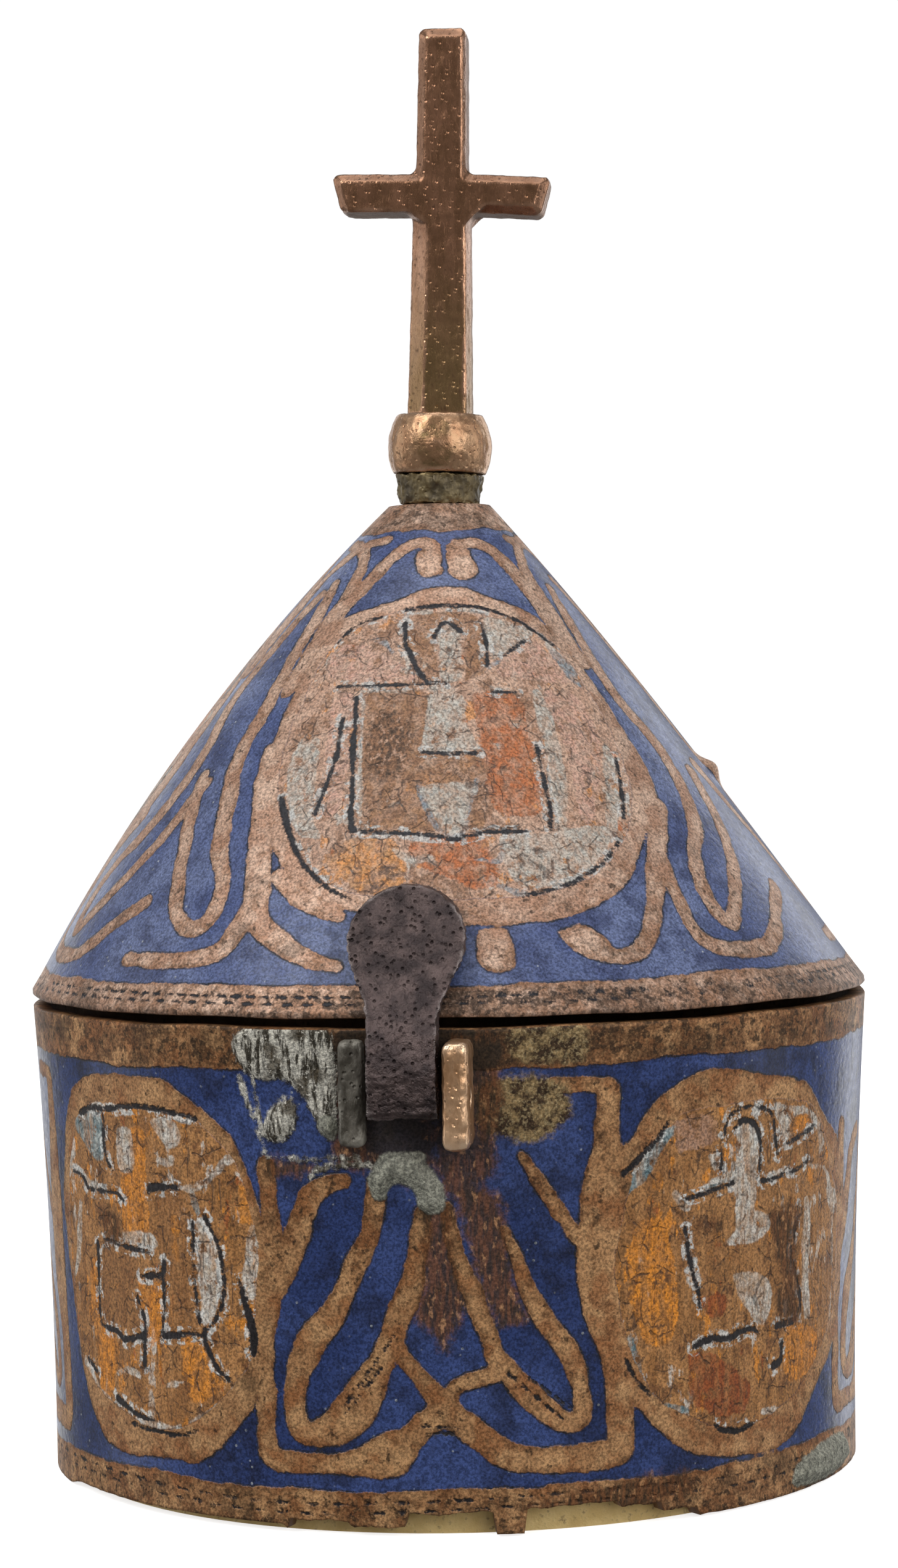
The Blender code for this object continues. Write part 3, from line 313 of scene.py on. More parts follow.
# Lid pattern: degrees round the lid, then millimetres down its face from the neck
LID_PATTERN = {
    "copper": (
        ((7, 9.9), (15, 10), (22, 10.5), (30, 11.4), (38, 12.3), (45, 13.8), (49, 16.5), (51.5, 20),
         (52, 24), (52, 28), (51, 30.5), (48.5, 32.6), (44, 34), (40, 35.8), (35, 38.5), (28, 40.6),
         (20, 41.8), (10, 42), (0, 41.6), (-10, 40.2), (-16, 38.4), (-21, 36), (-25, 33), (-28.5, 30.5),
         (-31, 27), (-32.5, 22), (-33, 18), (-32, 14.5), (-27, 12.6), (-20, 12), (-12, 11.4), (-5, 10.6),
         (0, 10.1)),
        ((10, 42.5), (14, 42.5), (14, 45.6), (10, 45.6)),
        # hooks above the roundel
        ((-33, 15, .7), (-31.5, 12.4, .7), (-28, 10.2, .7), (-24, 8.2, .65), (-18, 6.2, .6), (-10, 5.1, .6),
         (-2, 5, .6), (2, 5.8, .7), (3, 8, .7)),
        ((-3, 6.2, .5), (1, 7.8, .8), (4, 8, .7)),
        ((50, 16, .8), (48.6, 12, .75), (46, 9, .7), (42, 7, .65), (36, 5.7, .6), (28, 5.1, .6),
         (18, 5.2, .6)),
        ((14, 5.6, .5), (15, 8.2, .6), (21, 8.1, .6), (18, 6.4, .9)),
        # outer arcs
        ((-35, 20, .8), (-34.5, 14, .75), (-33, 10, .6), (-36, 7, .6), (-42, 5.6, .6), (-52, 4.9, .55),
         (-64, 4.6, .5)),
        ((52.4, 18, .7), (53, 12, .65), (53, 8.6, .6), (57, 6.8, .6), (63, 5.6, .6), (72, 4.8, .55),
         (86, 4.4, .5)),
        # frame left of the roundel down to the rim
        ((-31, 26, .8), (-28.5, 30, .9), (-25.6, 34, 1), (-23.4, 38, 1.1), (-22, 41, 1), (-17, 43.4, .9),
         (-12, 44.8, .7), (-9, 45.2, .5)),
        ((-22.6, 39, 1), (-24.4, 42, .9), (-27, 44.2, .8), (-34, 44.9, .7), (-43, 45, .7)),
        ((-20, 37.5, .7), (-15, 39.6, .8), (-9.4, 41, .6)),
        # right leaf of the left motif
        ((-46.4, 9, .5), (-42.8, 11.4, .6), (-41.6, 14, .65), (-40.6, 18, .65), (-39.4, 22, .7),
         (-39.9, 25, .7), (-38.6, 28, .75), (-36, 31, .8), (-33.3, 35, .8), (-30, 38, .75),
         (-29.8, 41, .75), (-32.6, 42.2, .75), (-36.6, 41, .7), (-39, 38.6, .7), (-42, 35, .7),
         (-45, 32, .7), (-47.8, 28.4, .7)),
        # left leaf of the right motif
        ((64.5, 10, .5), (61.4, 12, .6), (58.8, 15.6, .65), (57.4, 19, .65), (58, 22, .7), (60.8, 25, .7),
         (61.2, 28, .75), (59.6, 31, .8), (56, 34, .8), (51.4, 36.4, .75), (48.8, 39, .75),
         (48.6, 41.6, .75), (50.2, 42.8, .75), (53, 41.6, .7), (57, 39.4, .7), (61, 37, .7),
         (65.4, 33.6, .7), (69, 29, .7)),
        # spoon and bands at the lower right
        ((22, 43, .5), (24.6, 43.6, 1.3), (28, 45, .7), (32, 44.6, .7), (35.6, 42.4, .75), (38.6, 39.8, .8),
         (41.6, 37, .85), (45, 34.6, .9), (49, 32, .9)),
        ((43.6, 36.4, .5), (42.6, 39, .6), (42.2, 42, .6), (43, 44, .65), (47, 45, .7), (55, 45.1, .7),
         (60, 43.8, .7), (64, 42, .7), (70, 40, .7)),
    ),
    "field": (
        ((0, 12), (9, 11.8), (20, 12.2), (28, 12.8), (36, 13.6), (42, 15), (46, 17), (47.6, 20), (47.6, 25),
         (46, 28.5), (43, 31.5), (38, 34.6), (33, 36.8), (28, 38.2), (20, 39.4), (12, 39.7), (2, 39.6),
         (-8, 39), (-14, 37.2), (-20, 34), (-24, 31), (-27, 27.5), (-28.5, 23), (-28.5, 18), (-26, 15),
         (-20, 13.8), (-12, 12.8), (-6, 12.2)),
    ),
    "robe": (
        ((-4.5, 13), (9, 12.6), (20, 13.2), (20.5, 15), (19.5, 18.6), (14, 19.5), (13, 19.4), (14.4, 15),
         (9, 13.7), (6, 14.4), (5, 16), (6.5, 19.4), (2, 19), (-2, 16.5), (-4.2, 15)),
        ((-11, 20.6), (3.8, 20.8), (3.4, 23.6), (2.4, 26.4), (3, 26.5), (14, 26.6), (14, 29), (12.6, 29.4),
         (13.8, 32.4), (12, 33.6), (5, 33.6), (-7.6, 33.5), (-9, 29), (-10, 25)),
    ),
    "worn": (
        ((-8, 22), (1, 24), (0, 28), (-6, 28.8), (-9, 26)),
    ),
    "red": (
        ((14.8, 20.8), (26, 21.4), (26, 24), (25.4, 28), (25, 31), (22, 32.5), (15.4, 32), (14.6, 28),
         (15, 24)),
        ((1, 34.6), (12, 34.2), (14, 37), (13.6, 38.6), (10, 38.8), (6, 37.6), (2, 36.6)),
    ),
    "orange": (
        ((-13, 35.8), (-7, 34), (-2, 34.4), (0, 36.4), (-1, 38.6), (-6, 39), (-10, 37.6)),
    ),
    "pink": (
        ((-25, 16), (-15, 15.8), (-8, 17), (-2, 18.4), (1, 19.3), (-10, 19.6), (-22, 19), (-26, 18)),
        ((22, 19), (26, 17.6), (33, 15.9), (39, 16), (42, 18), (42, 20), (30, 19.6)),
        ((33.4, 21), (42, 21.2), (44, 24), (41, 27), (37, 30), (33, 33), (31, 33), (32, 29), (33.4, 25)),
        ((-20, 21), (-14.4, 21), (-12.6, 25), (-12, 31), (-15, 32), (-17.4, 26)),
    ),
    "teal": (
        ((41.5, 16.6), (45, 17), (47, 19), (46, 20.6), (43.5, 19.8), (42, 18.6)),
        ((-14, 15.1, .14), (-10, 15.6, .28), (-7, 16.6, .14)),
        ((20, 18.4, .22), (22, 18, .22), (25, 17.4, .12)),
        ((2, 29.5, .18), (3, 30.8, .22), (4.6, 32.8, .2), (6.2, 33.8, .2), (9, 34, .2), (10.4, 32.2, .2),
         (12.2, 30.2, .24), (13, 29.2, .24)),
        ((11, 36.2, .14), (14.6, 36.4, .22), (15.8, 34.6, .12)),
        ((14, 38.6, .2), (16, 39.2, .26), (18, 39.3, .14)),
    ),
    "pale": (
        ((5.6, 15), (7, 14.3), (10, 14), (13.6, 14.9), (14, 15.6), (13.2, 16.4), (13, 18), (12, 19.5),
         (7, 19.5), (6.8, 16.6)),
        ((4.2, 20.8), (11.5, 20.8), (12.4, 22), (12, 23.6), (13.8, 25.4), (13.6, 26.4), (3, 26.3),
         (3.4, 24), (4, 22)),
        ((2.8, 29.6), (12.6, 29.4), (11, 31.6), (9, 33.8), (6.6, 33.9), (5, 32.4), (3.6, 31)),
        ((21.5, 13.6), (28, 13.4), (38, 14.8), (34, 15.6), (26, 16.8), (21.5, 17.4)),
        ((-24, 24.5), (-20, 25), (-18.4, 28), (-17, 32), (-14, 34), (-19, 33.6), (-23, 30), (-25, 27)),
        ((16, 34.2), (24.6, 34), (33, 33.6), (35.6, 34.6), (30, 37), (26, 38.4), (20, 38.9), (17, 38.6),
         (15.4, 36.6)),
        ((-4, 12.6, .16), (1, 12.5, .25), (4, 12.4, .16)),
        ((12, 12.3, .16), (17, 12.4, .25), (24, 12.8, .14)),
        ((-14, 20.4, .12), (-8, 20.5, .14), (-2, 20.4, .12)),
        ((4, 20.3, .22), (8, 20.4, .28), (11, 20.4, .22)),
        ((19.5, 20.3, .14), (23, 20.5, .2), (25.5, 20.6, .12)),
        ((31.5, 21, .45), (31, 23, .65), (30.6, 25, .65), (30, 27, .65), (28.6, 29.5, .75),
         (27.4, 31.6, .55), (26.6, 33.4, .45)),
        ((44, 26.2, .3), (42, 28.2, .55), (39.6, 30.6, .65), (37.4, 32.6, .55), (35.6, 34.2, .3)),
        ((-12, 21, .1), (-10.8, 24, .1), (-9.8, 27, .12), (-8.8, 30, .12), (-7.8, 33, .12)),
        ((-2, 35.2, .2), (1, 36.2, .25), (3.6, 36, .3), (4.6, 36.6, .2)),
        ((6, 33.2, .2), (9, 33.4, .2)),
    ),
    "dark": (
        ((-5, 12.2, .14), (4, 11.9, .16), (12, 11.9, .16), (20, 12.1, .14), (26, 12.5, .1), (34, 13.5, .1),
         (40, 14.9, .1), (44, 16.2, .1)),
        ((5.2, 15.2, .1), (7, 14, .12), (10, 13.7, .12), (14, 14.8, .12)),
        ((-4.6, 13.6, .1), (-3.6, 15.6, .12), (-1.4, 17, .15), (1, 18.6, .12), (3.6, 19.7, .1)),
        ((26, 17.1, .1), (30, 16.3, .1), (34, 15.7, .1)),
        ((20.8, 14, .1), (20.9, 16, .1), (19.8, 18.2, .12)),
        ((-20, 19.9, .08), (-8, 19.9, .1), (3, 19.8, .1), (8, 19.8, .1)),
        ((20, 20.8, .1), (26, 20.9, .08)),
        ((2.8, 26.4, .1), (8, 26.6, .1), (14, 26.6, .1)),
        ((-14, 21, .1), (-12.8, 23, .1), (-12, 25.6, .18), (-10.8, 28, .1), (-10.2, 30, .1),
         (-9.6, 32.4, .18), (-8.8, 33.4, .25)),
        ((26.8, 26, .1), (26, 29, .1), (25.4, 32, .12), (24.4, 33.8, .1)),
        ((44.8, 27.4, .1), (41.8, 30.6, .12), (39.4, 33, .1)),
        ((-16, 23, .08), (-15, 27, .1), (-16.4, 32, .1)),
        ((-7.6, 33.6, .08), (-1, 33.8, .12), (5, 34.1, .12), (8, 34.5, .14), (11, 34, .15), (15, 33.9, .12),
         (20, 33.9, .1)),
        ((17, 39.6, .12), (24, 38.8, .12), (28, 37.9, .12), (32, 36.8, .1), (36, 35.2, .1)),
        ((-24, 30.6, .2), (-22, 32.2, .24), (-19.6, 34.2, .18), (-16, 36.6, .1), (-12, 38.4, .1),
         (-8, 39.6, .1)),
        ((-26, 15.4, .08), (-22, 13.7, .08), (-14, 12.9, .08)),
    ),
}


def wall_radius(level):
    return FOOT_RADIUS + (RIM_RADIUS - FOOT_RADIUS) * (level / BOX_HEIGHT) ** 2


def lid_radius(share):
    return NECK_RADIUS + (RIM_RADIUS - NECK_RADIUS) * share


def lid_level(share):
    return NECK_LEVEL - (LID_HEIGHT - LID_EDGE) * share + 4 * LID_BULGE * share * (1 - share)


def lid_drift(level):
    share = (level - LID_LEVEL) / LID_HEIGHT
    return LID_LEAN * share - 4 * LID_BOW * share * (1 - share)


def smooth_curve(points, closed, steps=4):
    """A curve through the points, with each span cut into steps."""
    points = np.array(points, float)
    if closed:
        before, after = np.roll(points, 1, 0), np.roll(points, -1, 0)
        beyond = np.roll(points, -2, 0)
        start = points
    else:
        padded = np.vstack((2 * points[0] - points[1], points, 2 * points[-1] - points[-2]))
        before, start, after, beyond = padded[:-3], padded[1:-2], padded[2:-1], padded[3:]
    out = []
    for step in range(steps):
        t = step / steps
        square = 2 * before - 5 * start + 4 * after - beyond
        cube = 3 * start - before - 3 * after + beyond
        out.append(0.5 * (2 * start + (after - before) * t + square * t ** 2 + cube * t ** 3))
    curve = np.stack(out, 1).reshape(-1, points.shape[1])
    return np.vstack((curve, curve[:1] if closed else points[-1:]))


def segment_distance(x, y, a, b):
    """Distance from the points to one segment, and how far along it the nearest place lies."""
    dx, dy = b[0] - a[0], b[1] - a[1]
    along = np.clip(((x - a[0]) * dx + (y - a[1]) * dy) / max(dx * dx + dy * dy, 1e-9), 0, 1)
    return np.hypot(x - a[0] - along * dx, y - a[1] - along * dy), along


def near_points(x, y, curve, margin):
    low, high = curve[:, :2].min(0) - margin, curve[:, :2].max(0) + margin
    return np.nonzero((x > low[0]) & (x < high[0]) & (y > low[1]) & (y < high[1]))[0]


def draw_line(field, x, y, curve):
    """Lowers the field to the distance from a line, negative inside its width."""
    picked = near_points(x, y, curve, curve[:, 2].max() + FAR / 2)
    px, py = x[picked], y[picked]
    best = field[picked]
    for a, b in zip(curve[:-1], curve[1:]):
        distance, along = segment_distance(px, py, a, b)
        best = np.minimum(best, distance - a[2] - (b[2] - a[2]) * along)
    field[picked] = best


def draw_area(field, x, y, curve):
    """Lowers the field to the distance from an outline, negative inside it."""
    picked = near_points(x, y, curve, FAR / 2)
    px, py = x[picked], y[picked]
    best = np.full(px.shape, FAR)
    inside = np.zeros(px.shape, bool)
    for a, b in zip(curve[:-1], curve[1:]):
        best = np.minimum(best, segment_distance(px, py, a, b)[0])
        crosses = (a[1] > py) != (b[1] > py)
        rise = b[1] - a[1] if b[1] != a[1] else 1e-9
        inside ^= crosses & (px < (b[0] - a[0]) * (py - a[1]) / rise + a[0])
    field[picked] = np.minimum(field[picked], np.where(inside, -best, best))


def draw_pattern(fields, x, y, pattern, unroll=np.asarray):
    """Draws every shape into its layer; unroll takes a curve from the pattern's own places to x and y."""
    for layer, shapes in pattern.items():
        for shape in shapes:
            is_area = len(shape[0]) == 2
            draw = draw_area if is_area else draw_line
            draw(fields[layer], x, y, unroll(smooth_curve(shape, is_area)))


def dashes(rows):
    """Short dark strokes along straight rows."""
    strokes = []
    for number, (start, end) in enumerate(rows):
        length = math.dist(start, end)
        along = (number % 2) * (DASH + DASH_GAP) / 2
        while along < length:
            ends = [[start[i] + (end[i] - start[i]) * min(place / length, 1) for i in (0, 1)]
                    for place in (along, along + DASH)]
            strokes.append(((*ends[0], DASH_HALF), (*ends[1], DASH_HALF)))
            along += DASH + DASH_GAP
    return {"dark": strokes}


def ring_dashes(arc, level, row, pitch, length, half, slant=0.0):
    """Distance from a row of dashes that runs all the way round."""
    place = np.abs((arc + slant * (level - row)) % pitch - pitch / 2) - length / 2
    return np.maximum(place, np.abs(level - row) - half)


def ramp(value, low, high):
    """0 below low, 1 above high, and smooth between."""
    share = np.clip((value - low) / (high - low), 0, 1)
    return share * share * (3 - 2 * share)


def turned_away(azimuth, middle):
    """Azimuth measured from the pattern's own place, between -180 and 180 degrees."""
    return (azimuth - middle + 180) % 360 - 180


def box_fields(azimuth, level):
    """How far each point of the box's wall lies from every layer of the pattern, in millimetres."""
    fields = {layer: np.full(azimuth.shape, FAR) for layer in LAYERS}
    place = np.sin(np.radians(azimuth))
    # the pattern lies a little askew, as the photo shows
    azimuth = azimuth - 0.4 - 0.75 * place + 0.026 * level
    level = level * 0.992 - 0.17 - 0.29 * place
    for pattern, middles in (
        (BOX_LEAVES, ALL_SIDES), (dashes(BOX_DASHES), ALL_SIDES), (LEFT_ROUNDEL, FRONT_AND_BACK),
        (RIGHT_ROUNDEL, FRONT_AND_BACK), (BOX_FRONT, (0,)),
    ):
        for middle in middles:
            around = np.radians(turned_away(azimuth, middle)) * PATTERN_RADIUS
            draw_pattern(fields, around, level, pattern)
    wobble = 0.12 * np.sin(np.radians(azimuth * 7)) + 0.08 * np.sin(np.radians(azimuth * 17 + 40))
    bands = np.minimum(level - BOX_BAND_FOOT - wobble, BOX_BAND_RIM - wobble - level)
    fields["copper"] = np.minimum(fields["copper"], bands)
    arc = np.radians(azimuth) * PATTERN_RADIUS
    drift = 0.25 * np.sin(np.radians(azimuth * 5))
    for row, pitch, length in ((2.45, 2.3, 1.0), (1.75, 1.9, 0.8)):
        here = ring_dashes(arc, level, row + drift, pitch, length, 0.03, 0.8)
        fields["dark"] = np.minimum(fields["dark"], here)
    # grime_and_shade, which the enamel reads: darker at the rim, at the front under the clasp and towards the
    # foot, and most behind the hasp
    front = np.exp(-(turned_away(azimuth, 4) / 24) ** 2)
    rim = ramp(level, 33.8, 34.4)
    # painted shadow of the hasp on the wall behind it
    hasp_shadow = np.exp(-(turned_away(azimuth, 1) / 9) ** 2) * ramp(level, 26, 29)
    fields["grime_and_shade"] = (0.3 + 0.36 * rim + 0.3 * front * ramp(level, 14, 26) + 0.3 * (1 - ramp(level, 2, 4))
                       + 0.4 * hasp_shadow)
    return fields


def unroll_lid(curve):
    """From degrees round the lid and distance down it to the flat sheet it would unroll to."""
    turn, reach = np.radians(curve[:, 0]) * LID_UNROLL, curve[:, 1] + LID_APEX
    return np.column_stack((reach * np.sin(turn), reach * np.cos(turn), *curve[:, 2:].T))


def lid_fields(azimuth, down):
    """The same for the lid, where down is how far a point lies from the neck."""
    fields = {layer: np.full(azimuth.shape, FAR) for layer in LAYERS}
    place = np.sin(np.radians(azimuth))
    # this pattern lies a little askew too
    azimuth = azimuth - 0.7 - 1.7 * place + 0.01 * down
    down = down * 1.004 + 0.36 + 0.17 * place
    reach = down + LID_APEX
    for middle in LID_SIDES:
        turn = np.radians(turned_away(azimuth, middle)) * LID_UNROLL
        draw_pattern(fields, reach * np.sin(turn), reach * np.cos(turn), LID_PATTERN, unroll_lid)
    wobble = 0.12 * np.sin(np.radians(azimuth * 6 + 20)) + 0.08 * np.sin(np.radians(azimuth * 15))
    bands = np.minimum(LID_BAND_RIM + wobble - down, down - LID_BAND_NECK - wobble)
    fields["copper"] = np.minimum(fields["copper"], bands)
    arc = np.radians(azimuth) * RIM_RADIUS
    for row, pitch in ((47.8, 1.25), (48.45, 1.6)):
        fields["dark"] = np.minimum(fields["dark"], ring_dashes(arc, down, row, pitch, 0.75, 0.07))
    # grime_and_shade on the lid: darker near the neck, down towards the rim, at the front near the rim, and
    # along the rim more on the right
    front = np.exp(-(turned_away(azimuth, 2) / 13) ** 2)
    rim = ramp(down, 46.6, 48.6) * (0.6 + 0.4 * place)
    fields["grime_and_shade"] = (0.28 + 0.32 * (1 - ramp(down, 3, 4.5)) + 0.2 * ramp(down, 34, 46)
                       + 0.4 * front * ramp(down, 43, 47) + 0.35 * rim)
    return fields


def uneven_edge(azimuth, seed, depth):
    """A knocked edge: waves round the object from 0 to the depth."""
    rng = np.random.default_rng(seed)
    waves = sum(np.sin(np.radians(azimuth) * turns + rng.uniform(0, 6.3)) / 4 for turns in (5, 9, 14, 23))
    return depth * (0.5 + 0.5 * np.clip(waves, -1, 1))


def above_foot(level, foot):
    """Squeezes the lowest rows of the wall so that they end at its broken foot."""
    squeezed = foot + (FOOT_MENDED - foot) * (level - WALL_LIFT) / (FOOT_MENDED - WALL_LIFT)
    return np.where(level < FOOT_MENDED, squeezed, level + 0 * foot)


def columns(fine, coarse):
    """Azimuths round the object, close together where the photo looks and wider apart behind."""
    front = np.arange(FRONT_START, FRONT_END, fine)
    count = int((360 - FRONT_END + FRONT_START) / coarse)
    return np.concatenate((front, np.linspace(FRONT_END, FRONT_START + 360, count + 1)[:-1]))


def link(name, data):
    piece = bpy.data.objects.new(name, data)
    bpy.context.scene.collection.objects.link(piece)
    return piece


def tube(name, rows, closed, attributes, slots, materials):
    """A piece round the Z axis from rows of points, the last row joined to the first when closed."""
    count_rows, count_columns = rows.shape[:2]
    index = np.arange(count_rows * count_columns).reshape(count_rows, count_columns)
    below = np.roll(index, -1, 0) if closed else index[1:]
    above = index if closed else index[:-1]
    quads = np.stack((above, below, np.roll(below, -1, 1), np.roll(above, -1, 1)), -1)
    row_slot = np.repeat(slots[: len(above)], count_columns)
    faces = quads.reshape(-1, 4)
    points = rows.reshape(-1, 3)
    mesh = bpy.data.meshes.new(name)
    mesh.vertices.add(len(points))
    mesh.vertices.foreach_set("co", (points * MM).ravel())
    mesh.loops.add(faces.size)
    mesh.loops.foreach_set("vertex_index", faces.ravel())
    mesh.polygons.add(len(faces))
    mesh.polygons.foreach_set("loop_start", np.arange(0, faces.size, 4))
    mesh.polygons.foreach_set("material_index", row_slot.astype(np.int32))
    mesh.update(calc_edges=True)
    for key, values in attributes.items():
        layer = mesh.attributes.new(key, "FLOAT", "POINT")
        layer.data.foreach_set("value", values.ravel().astype(np.float32))
    if not closed:
        work = bmesh.new()
        work.from_mesh(mesh)
        ends = [edge for edge in work.edges if edge.is_boundary]
        bmesh.ops.holes_fill(work, edges=ends)
        work.to_mesh(mesh)
        work.free()
    mesh.validate()
    mesh.shade_smooth()
    for material in materials:
        mesh.materials.append(material)
    return link(name, mesh)


def wall_levels(share, foot, dent):
    """Rows from the broken foot up to the dented rim."""
    level = above_foot(WALL_LIFT + (BOX_HEIGHT - RIM_ROUND - WALL_LIFT) * share[:, None], foot)
    return level - dent * ramp(level, BOX_HEIGHT - 2, BOX_HEIGHT)


def box_skin(materials):
    """The wall of the box as a closed shell, fine enough to carry its pattern."""
    azimuth = columns(*BOX_SPACING)
    rng = np.random.default_rng(4)
    foot = np.full(azimuth.shape, WALL_LIFT)
    for start, end, height in BREAKS:
        here = (azimuth > start) & (azimuth < end)
        foot[here] = np.maximum(foot[here], height)
    lifted = ramp(azimuth, -64, -58) * ramp(-azimuth, 16.5, 18)
    foot = np.maximum(foot, WALL_LIFT + FOOT_LIFT * lifted)
    rough = np.convolve(rng.normal(0, 0.16, azimuth.shape), np.ones(5) / 5, "same")
    broken = foot > WALL_LIFT + FOOT_LIFT + 0.01
    foot = np.where(broken, foot + rough, foot + np.abs(rough) * 0.3)
    dent = uneven_edge(azimuth, 3, DENT)
    level, inner_level = (wall_levels(share, foot, dent)
                          for share in (np.linspace(1, 0, BOX_ROWS), np.linspace(0, 1, BOX_INSIDE_ROWS)))
    turn = np.radians(azimuth)
    fields = box_fields(np.broadcast_to(azimuth, level.shape).ravel().copy(), level.ravel())
    rim = BOX_HEIGHT - dent[None, :]
    levels = np.vstack((level, inner_level, rim, rim))
    proud = sum(height * ramp(-fields[layer].reshape(level.shape), -0.1, depth)
                for layer, height, depth in (("lead", 0.55, 0.9), ("crust", 0.35, 0.6)))
    radius = np.vstack((wall_radius(level) + proud, wall_radius(inner_level) - WALL,
                        np.full((1, len(azimuth)), RIM_RADIUS - WALL + RIM_ROUND),
                        np.full((1, len(azimuth)), RIM_RADIUS - RIM_ROUND)))
    rows = np.stack((radius * np.sin(turn), -radius * np.cos(turn), levels), -1)
    plain = np.full((len(levels) - len(level), len(azimuth)), FAR)
    attributes = {key: np.vstack((values.reshape(level.shape), plain)) for key, values in fields.items()}
    attributes["copper"][len(level):] = -FAR
    attributes["grime_and_shade"][len(level):] = PLAIN_GRIME_AND_SHADE
    slots = np.array([0] * (BOX_ROWS - 1) + [1] * (BOX_INSIDE_ROWS + 1) + [0, 0])
    return tube("box_skin", rows, True, attributes, slots, materials)


def lid_skin(materials):
    """The lid as a closed shell, fine enough to carry its pattern."""
    azimuth = columns(*LID_SPACING)
    turn = np.radians(azimuth)
    share = np.linspace(0, 1, LID_ROWS)
    radius, level = lid_radius(share) - 0.02, lid_level(share)
    steps = np.hypot(np.diff(radius), np.diff(level))
    down = np.concatenate(((0,), np.cumsum(steps)))
    down *= LID_SLANT / down[-1]
    grid_down = np.repeat(down[:, None], len(azimuth), 1)
    fields = lid_fields(np.broadcast_to(azimuth, grid_down.shape).ravel().copy(), grid_down.ravel())
    normal = np.stack((-np.gradient(level), np.gradient(radius)), -1)
    normal /= np.linalg.norm(normal, axis=1)[:, None]
    inner = (np.stack((radius, level), -1) - normal * WALL)[::-1][:-LID_INSIDE_STEP:LID_INSIDE_STEP]
    profile = np.vstack((
        (0.4, NECK_LEVEL), np.stack((radius, level), -1), (RIM_RADIUS, LID_LEVEL + 0.1),
        (RIM_RADIUS - 0.1, LID_LEVEL), (RIM_RADIUS - WALL, LID_LEVEL), inner[1:],
        (NECK_RADIUS - WALL, NECK_LEVEL - WALL - LID_BULGE), (0.4, NECK_LEVEL - WALL - LID_BULGE),
    ))
    rows = np.stack((profile[:, :1] * np.sin(turn), -profile[:, :1] * np.cos(turn),
                     np.repeat(profile[:, 1:], len(turn), 1)), -1)
    rows[..., 2] += uneven_edge(azimuth, 8, DENT) * ramp(rows[..., 2], LID_LEVEL + 2, LID_LEVEL)
    rows[..., 0] += lid_drift(rows[..., 2])
    lump = np.exp(-((rows[..., 2] - LUMP_LEVEL) ** 2 + (rows[..., 1] + 1) ** 2) / 0.8) * (rows[..., 0] > 20)
    rows[:LID_ROWS] += (np.array(LUMP_PUSH) * lump[..., None])[:LID_ROWS]
    after = len(profile) - 1 - LID_ROWS
    attributes = {}
    for key, values in fields.items():
        plain = {"copper": -FAR, "grime_and_shade": PLAIN_GRIME_AND_SHADE}.get(key, FAR)
        attributes[key] = np.vstack((np.full((1, len(azimuth)), plain), values.reshape(grid_down.shape),
                                     np.full((after, len(azimuth)), plain)))
    slots = np.array([0] * (LID_ROWS + 3) + [1] * (after - 2))
    return tube("lid_skin", rows, False, attributes, slots, materials)


class Number:
    """A number worked out by nodes. It adds, subtracts and multiplies as plain numbers do."""

    def __init__(self, graph, socket):
        self.graph = graph
        self.socket = socket

    def __add__(self, other):
        return self.graph.math("ADD", self, other)

    def __sub__(self, other):
        return self.graph.math("SUBTRACT", self, other)

    def __rsub__(self, other):
        return self.graph.math("SUBTRACT", other, self)

    def __mul__(self, other):
        return self.graph.math("MULTIPLY", self, other)

    def signed(self, size):
        """From 0 to 1 into a number that is as often above 0 as below it."""
        return (self - 0.5) * size

    def step(self, low, high):
        """0 below low, 1 above high, and smooth between."""
        inputs = {"Value": self, "From Min": low, "From Max": high}
        node = self.graph.node("MapRange", inputs, interpolation_type="SMOOTHSTEP")
        return Number(self.graph, node.outputs[0])


